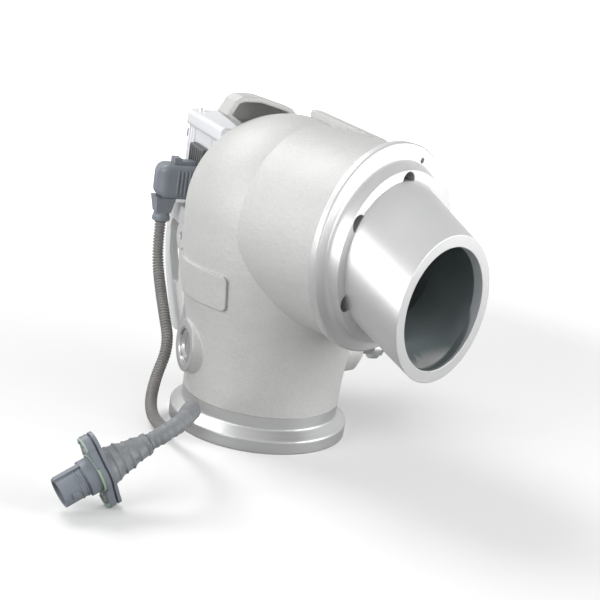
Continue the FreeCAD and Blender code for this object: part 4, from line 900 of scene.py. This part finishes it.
# %% Plastics and rubbers
def moulded(name, dark, light, roughness, grain_scale=1100, depth=0.00010, dust=0.0, rounding=0.0006):
    finish = Finish(name)
    spark = finish.noise(grain_scale, 2.0, 0.6)
    patch = finish.noise(55, 3.0)
    colour = finish.between(patch, dark, light)
    if dust:
        film = finish.rise(finish.noise(120, 4.0, 0.65), 0.48, 0.72)
        colour = finish.between(film * dust, colour, (0.42, 0.41, 0.39))
    finish.feed("Base Color", colour)
    finish.feed("Roughness", roughness + (spark - 0.5) * 0.12 + (patch - 0.5) * 0.10)
    finish.relief(spark + patch * 1.5, depth, 0.5, rounding)
    finishes[name] = finish


moulded("black_rubber", (0.15, 0.16, 0.17), (0.25, 0.265, 0.28), 0.52, 700, 0.0003, dust=0.2)
moulded("socket_plastic", (0.085, 0.09, 0.095), (0.13, 0.135, 0.14), 0.44)
moulded("plug_plastic", (0.15, 0.17, 0.195), (0.23, 0.25, 0.28), 0.42)
moulded("conduit_plastic", (0.17, 0.165, 0.16), (0.30, 0.29, 0.28), 0.42, dust=0.2)
moulded("connector_plastic", (0.15, 0.17, 0.20), (0.23, 0.25, 0.285), 0.42)
moulded("green_seal", (0.30, 0.40, 0.31), (0.40, 0.52, 0.41), 0.50)

# %% [markdown]
# The circuit board is hidden in the housing, and shows only when that is taken off.
# Its green mask has copper tracks under it, which a brick pattern gives, with a faint step in height.

# %% Circuit board
board = Finish("circuit_board", metallic=0.1)
tracks = board.node("ShaderNodeTexBrick", inputs={
    "Vector": board.place, "Color1": (1, 1, 1, 1), "Color2": (0.7, 0.7, 0.7, 1), "Mortar": (0, 0, 0, 1),
    "Scale": 90.0, "Mortar Size": 0.06, "Brick Width": 0.9, "Row Height": 0.22}, output="Fac")
weave = board.noise(800, 2.0)
board.feed("Base Color", board.between(tracks * 0.7 + weave * 0.3, (0.03, 0.17, 0.08), (0.08, 0.32, 0.15)))
board.feed("Roughness", 0.24 + weave * 0.16)
board.relief(tracks + weave * 0.2, 0.00006, 0.6)
finishes["circuit_board"] = board

# %% Paint the frame's nodes and the new pieces
slot_of_node = {part["node"]: part["material_slot"] for part in frame["record"]["subparts"]}
for name, node in nodes.items():
    material = finishes[slot_of_node[name]].material
    if node.material_slots:
        for place in node.material_slots:
            place.material = material
    else:
        node.data.materials.append(material)
painted = [o for o in scene.objects if "finish" in o]
for piece in painted:
    piece.data.materials.append(finishes[piece["finish"]].material)
print("painted", len(nodes), "nodes and", len(painted), "pieces with", len(finishes), "finishes")

# %% [markdown]
# The photograph has a white ground with one soft shadow, so the floor is white to the camera and keeps
# the shadow. Far from the part it glows a little more, so that no horizon shows.
# Three broad lamps and an even world light the part at a plain level.

# %% Floor
def ray_kinds(tree):
    """Whether a ray comes from the camera, through glass, or off a shiny surface."""
    ray = tree.nodes.new("ShaderNodeLightPath")
    kinds = ("Is Camera Ray", "Is Transmission Ray", "Is Glossy Ray")
    return [Wire(tree, ray.outputs[kind]) for kind in kinds]


floor_reach = 40
paper_seen = 0.84
paper_bounce = 0.42
glow_near = 0.08
glow_growth = 1.2
glow_start = 0.5
glow_span = 1.2
floor_shape = bmesh.new()
bmesh.ops.create_grid(floor_shape, x_segments=1, y_segments=1, size=floor_reach)
floor_mesh = bpy.data.meshes.new("floor")
floor_shape.to_mesh(floor_mesh)
floor_shape.free()
floor = bpy.data.objects.new("floor", floor_mesh)
scene.collection.objects.link(floor)
floor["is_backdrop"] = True

paper = bpy.data.materials.new("paper")
paper.use_nodes = True
paper_tree = paper.node_tree
paper_tree.nodes.clear()
sheet_out = paper_tree.nodes.new("ShaderNodeOutputMaterial")
added = paper_tree.nodes.new("ShaderNodeAddShader")
matt = paper_tree.nodes.new("ShaderNodeBsdfDiffuse")
glow = paper_tree.nodes.new("ShaderNodeEmission")
to_camera, through_glass, mirrored = ray_kinds(paper_tree)
seen = to_camera.larger(through_glass).larger(mirrored * 0.2)
connect(paper_tree, matt.inputs["Color"], to_camera * (paper_seen - paper_bounce) + paper_bounce)
spot = paper_tree.nodes.new("ShaderNodeTexCoord")
apart = paper_tree.nodes.new("ShaderNodeSeparateXYZ")
connect(paper_tree, apart.inputs[0], Wire(paper_tree, spot.outputs["Object"]))
from_part = length_of(Wire(paper_tree, apart.outputs[0]), Wire(paper_tree, apart.outputs[1]))
far = ((from_part - glow_start) / glow_span).larger(0.0)
connect(paper_tree, glow.inputs["Strength"], seen * (glow_near + far * glow_growth))
paper_tree.links.new(matt.outputs[0], added.inputs[0])
paper_tree.links.new(glow.outputs[0], added.inputs[1])
paper_tree.links.new(added.outputs[0], sheet_out.inputs["Surface"])
floor_mesh.materials.append(paper)

# %% World
world = bpy.data.worlds.new("studio")
scene.world = world
world.use_nodes = True
world_tree = world.node_tree
backdrop = world_tree.nodes["Background"]
backdrop.inputs["Color"].default_value = (1, 1, 1, 1)
to_camera, through_glass, mirrored = ray_kinds(world_tree)
seen = to_camera.larger(through_glass).larger(mirrored * 0.6)
ambient = 0.42
connect(world_tree, backdrop.inputs["Strength"], ambient + seen * (1 - ambient))


# %% Lamps
def lamp(name, place, target, size, power):
    data = bpy.data.lights.new(name, "AREA")
    data.shape = "SQUARE"
    data.size = size
    data.energy = power
    light = bpy.data.objects.new(name, data)
    scene.collection.objects.link(light)
    turn = (Vector(target) - Vector(place)).to_track_quat("-Z", "Y").to_matrix().to_4x4()
    light.matrix_world = Matrix.Translation(place) @ turn


middle_of_part = (0.0, -0.02, 0.13)
lamp("key_lamp", (-1.35, -0.25, 1.9), middle_of_part, size=1.0, power=24)
lamp("front_lamp", (-0.1, -2.1, 0.75), middle_of_part, size=1.4, power=32)
lamp("right_lamp", (1.75, 0.95, 0.55), middle_of_part, size=1.3, power=32)

# %% Sizes and end
for name, corners in (("frame", cad_box), ("visual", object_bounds())):
    print(name, [[round(v, 4) for v in corner] for corner in corners])
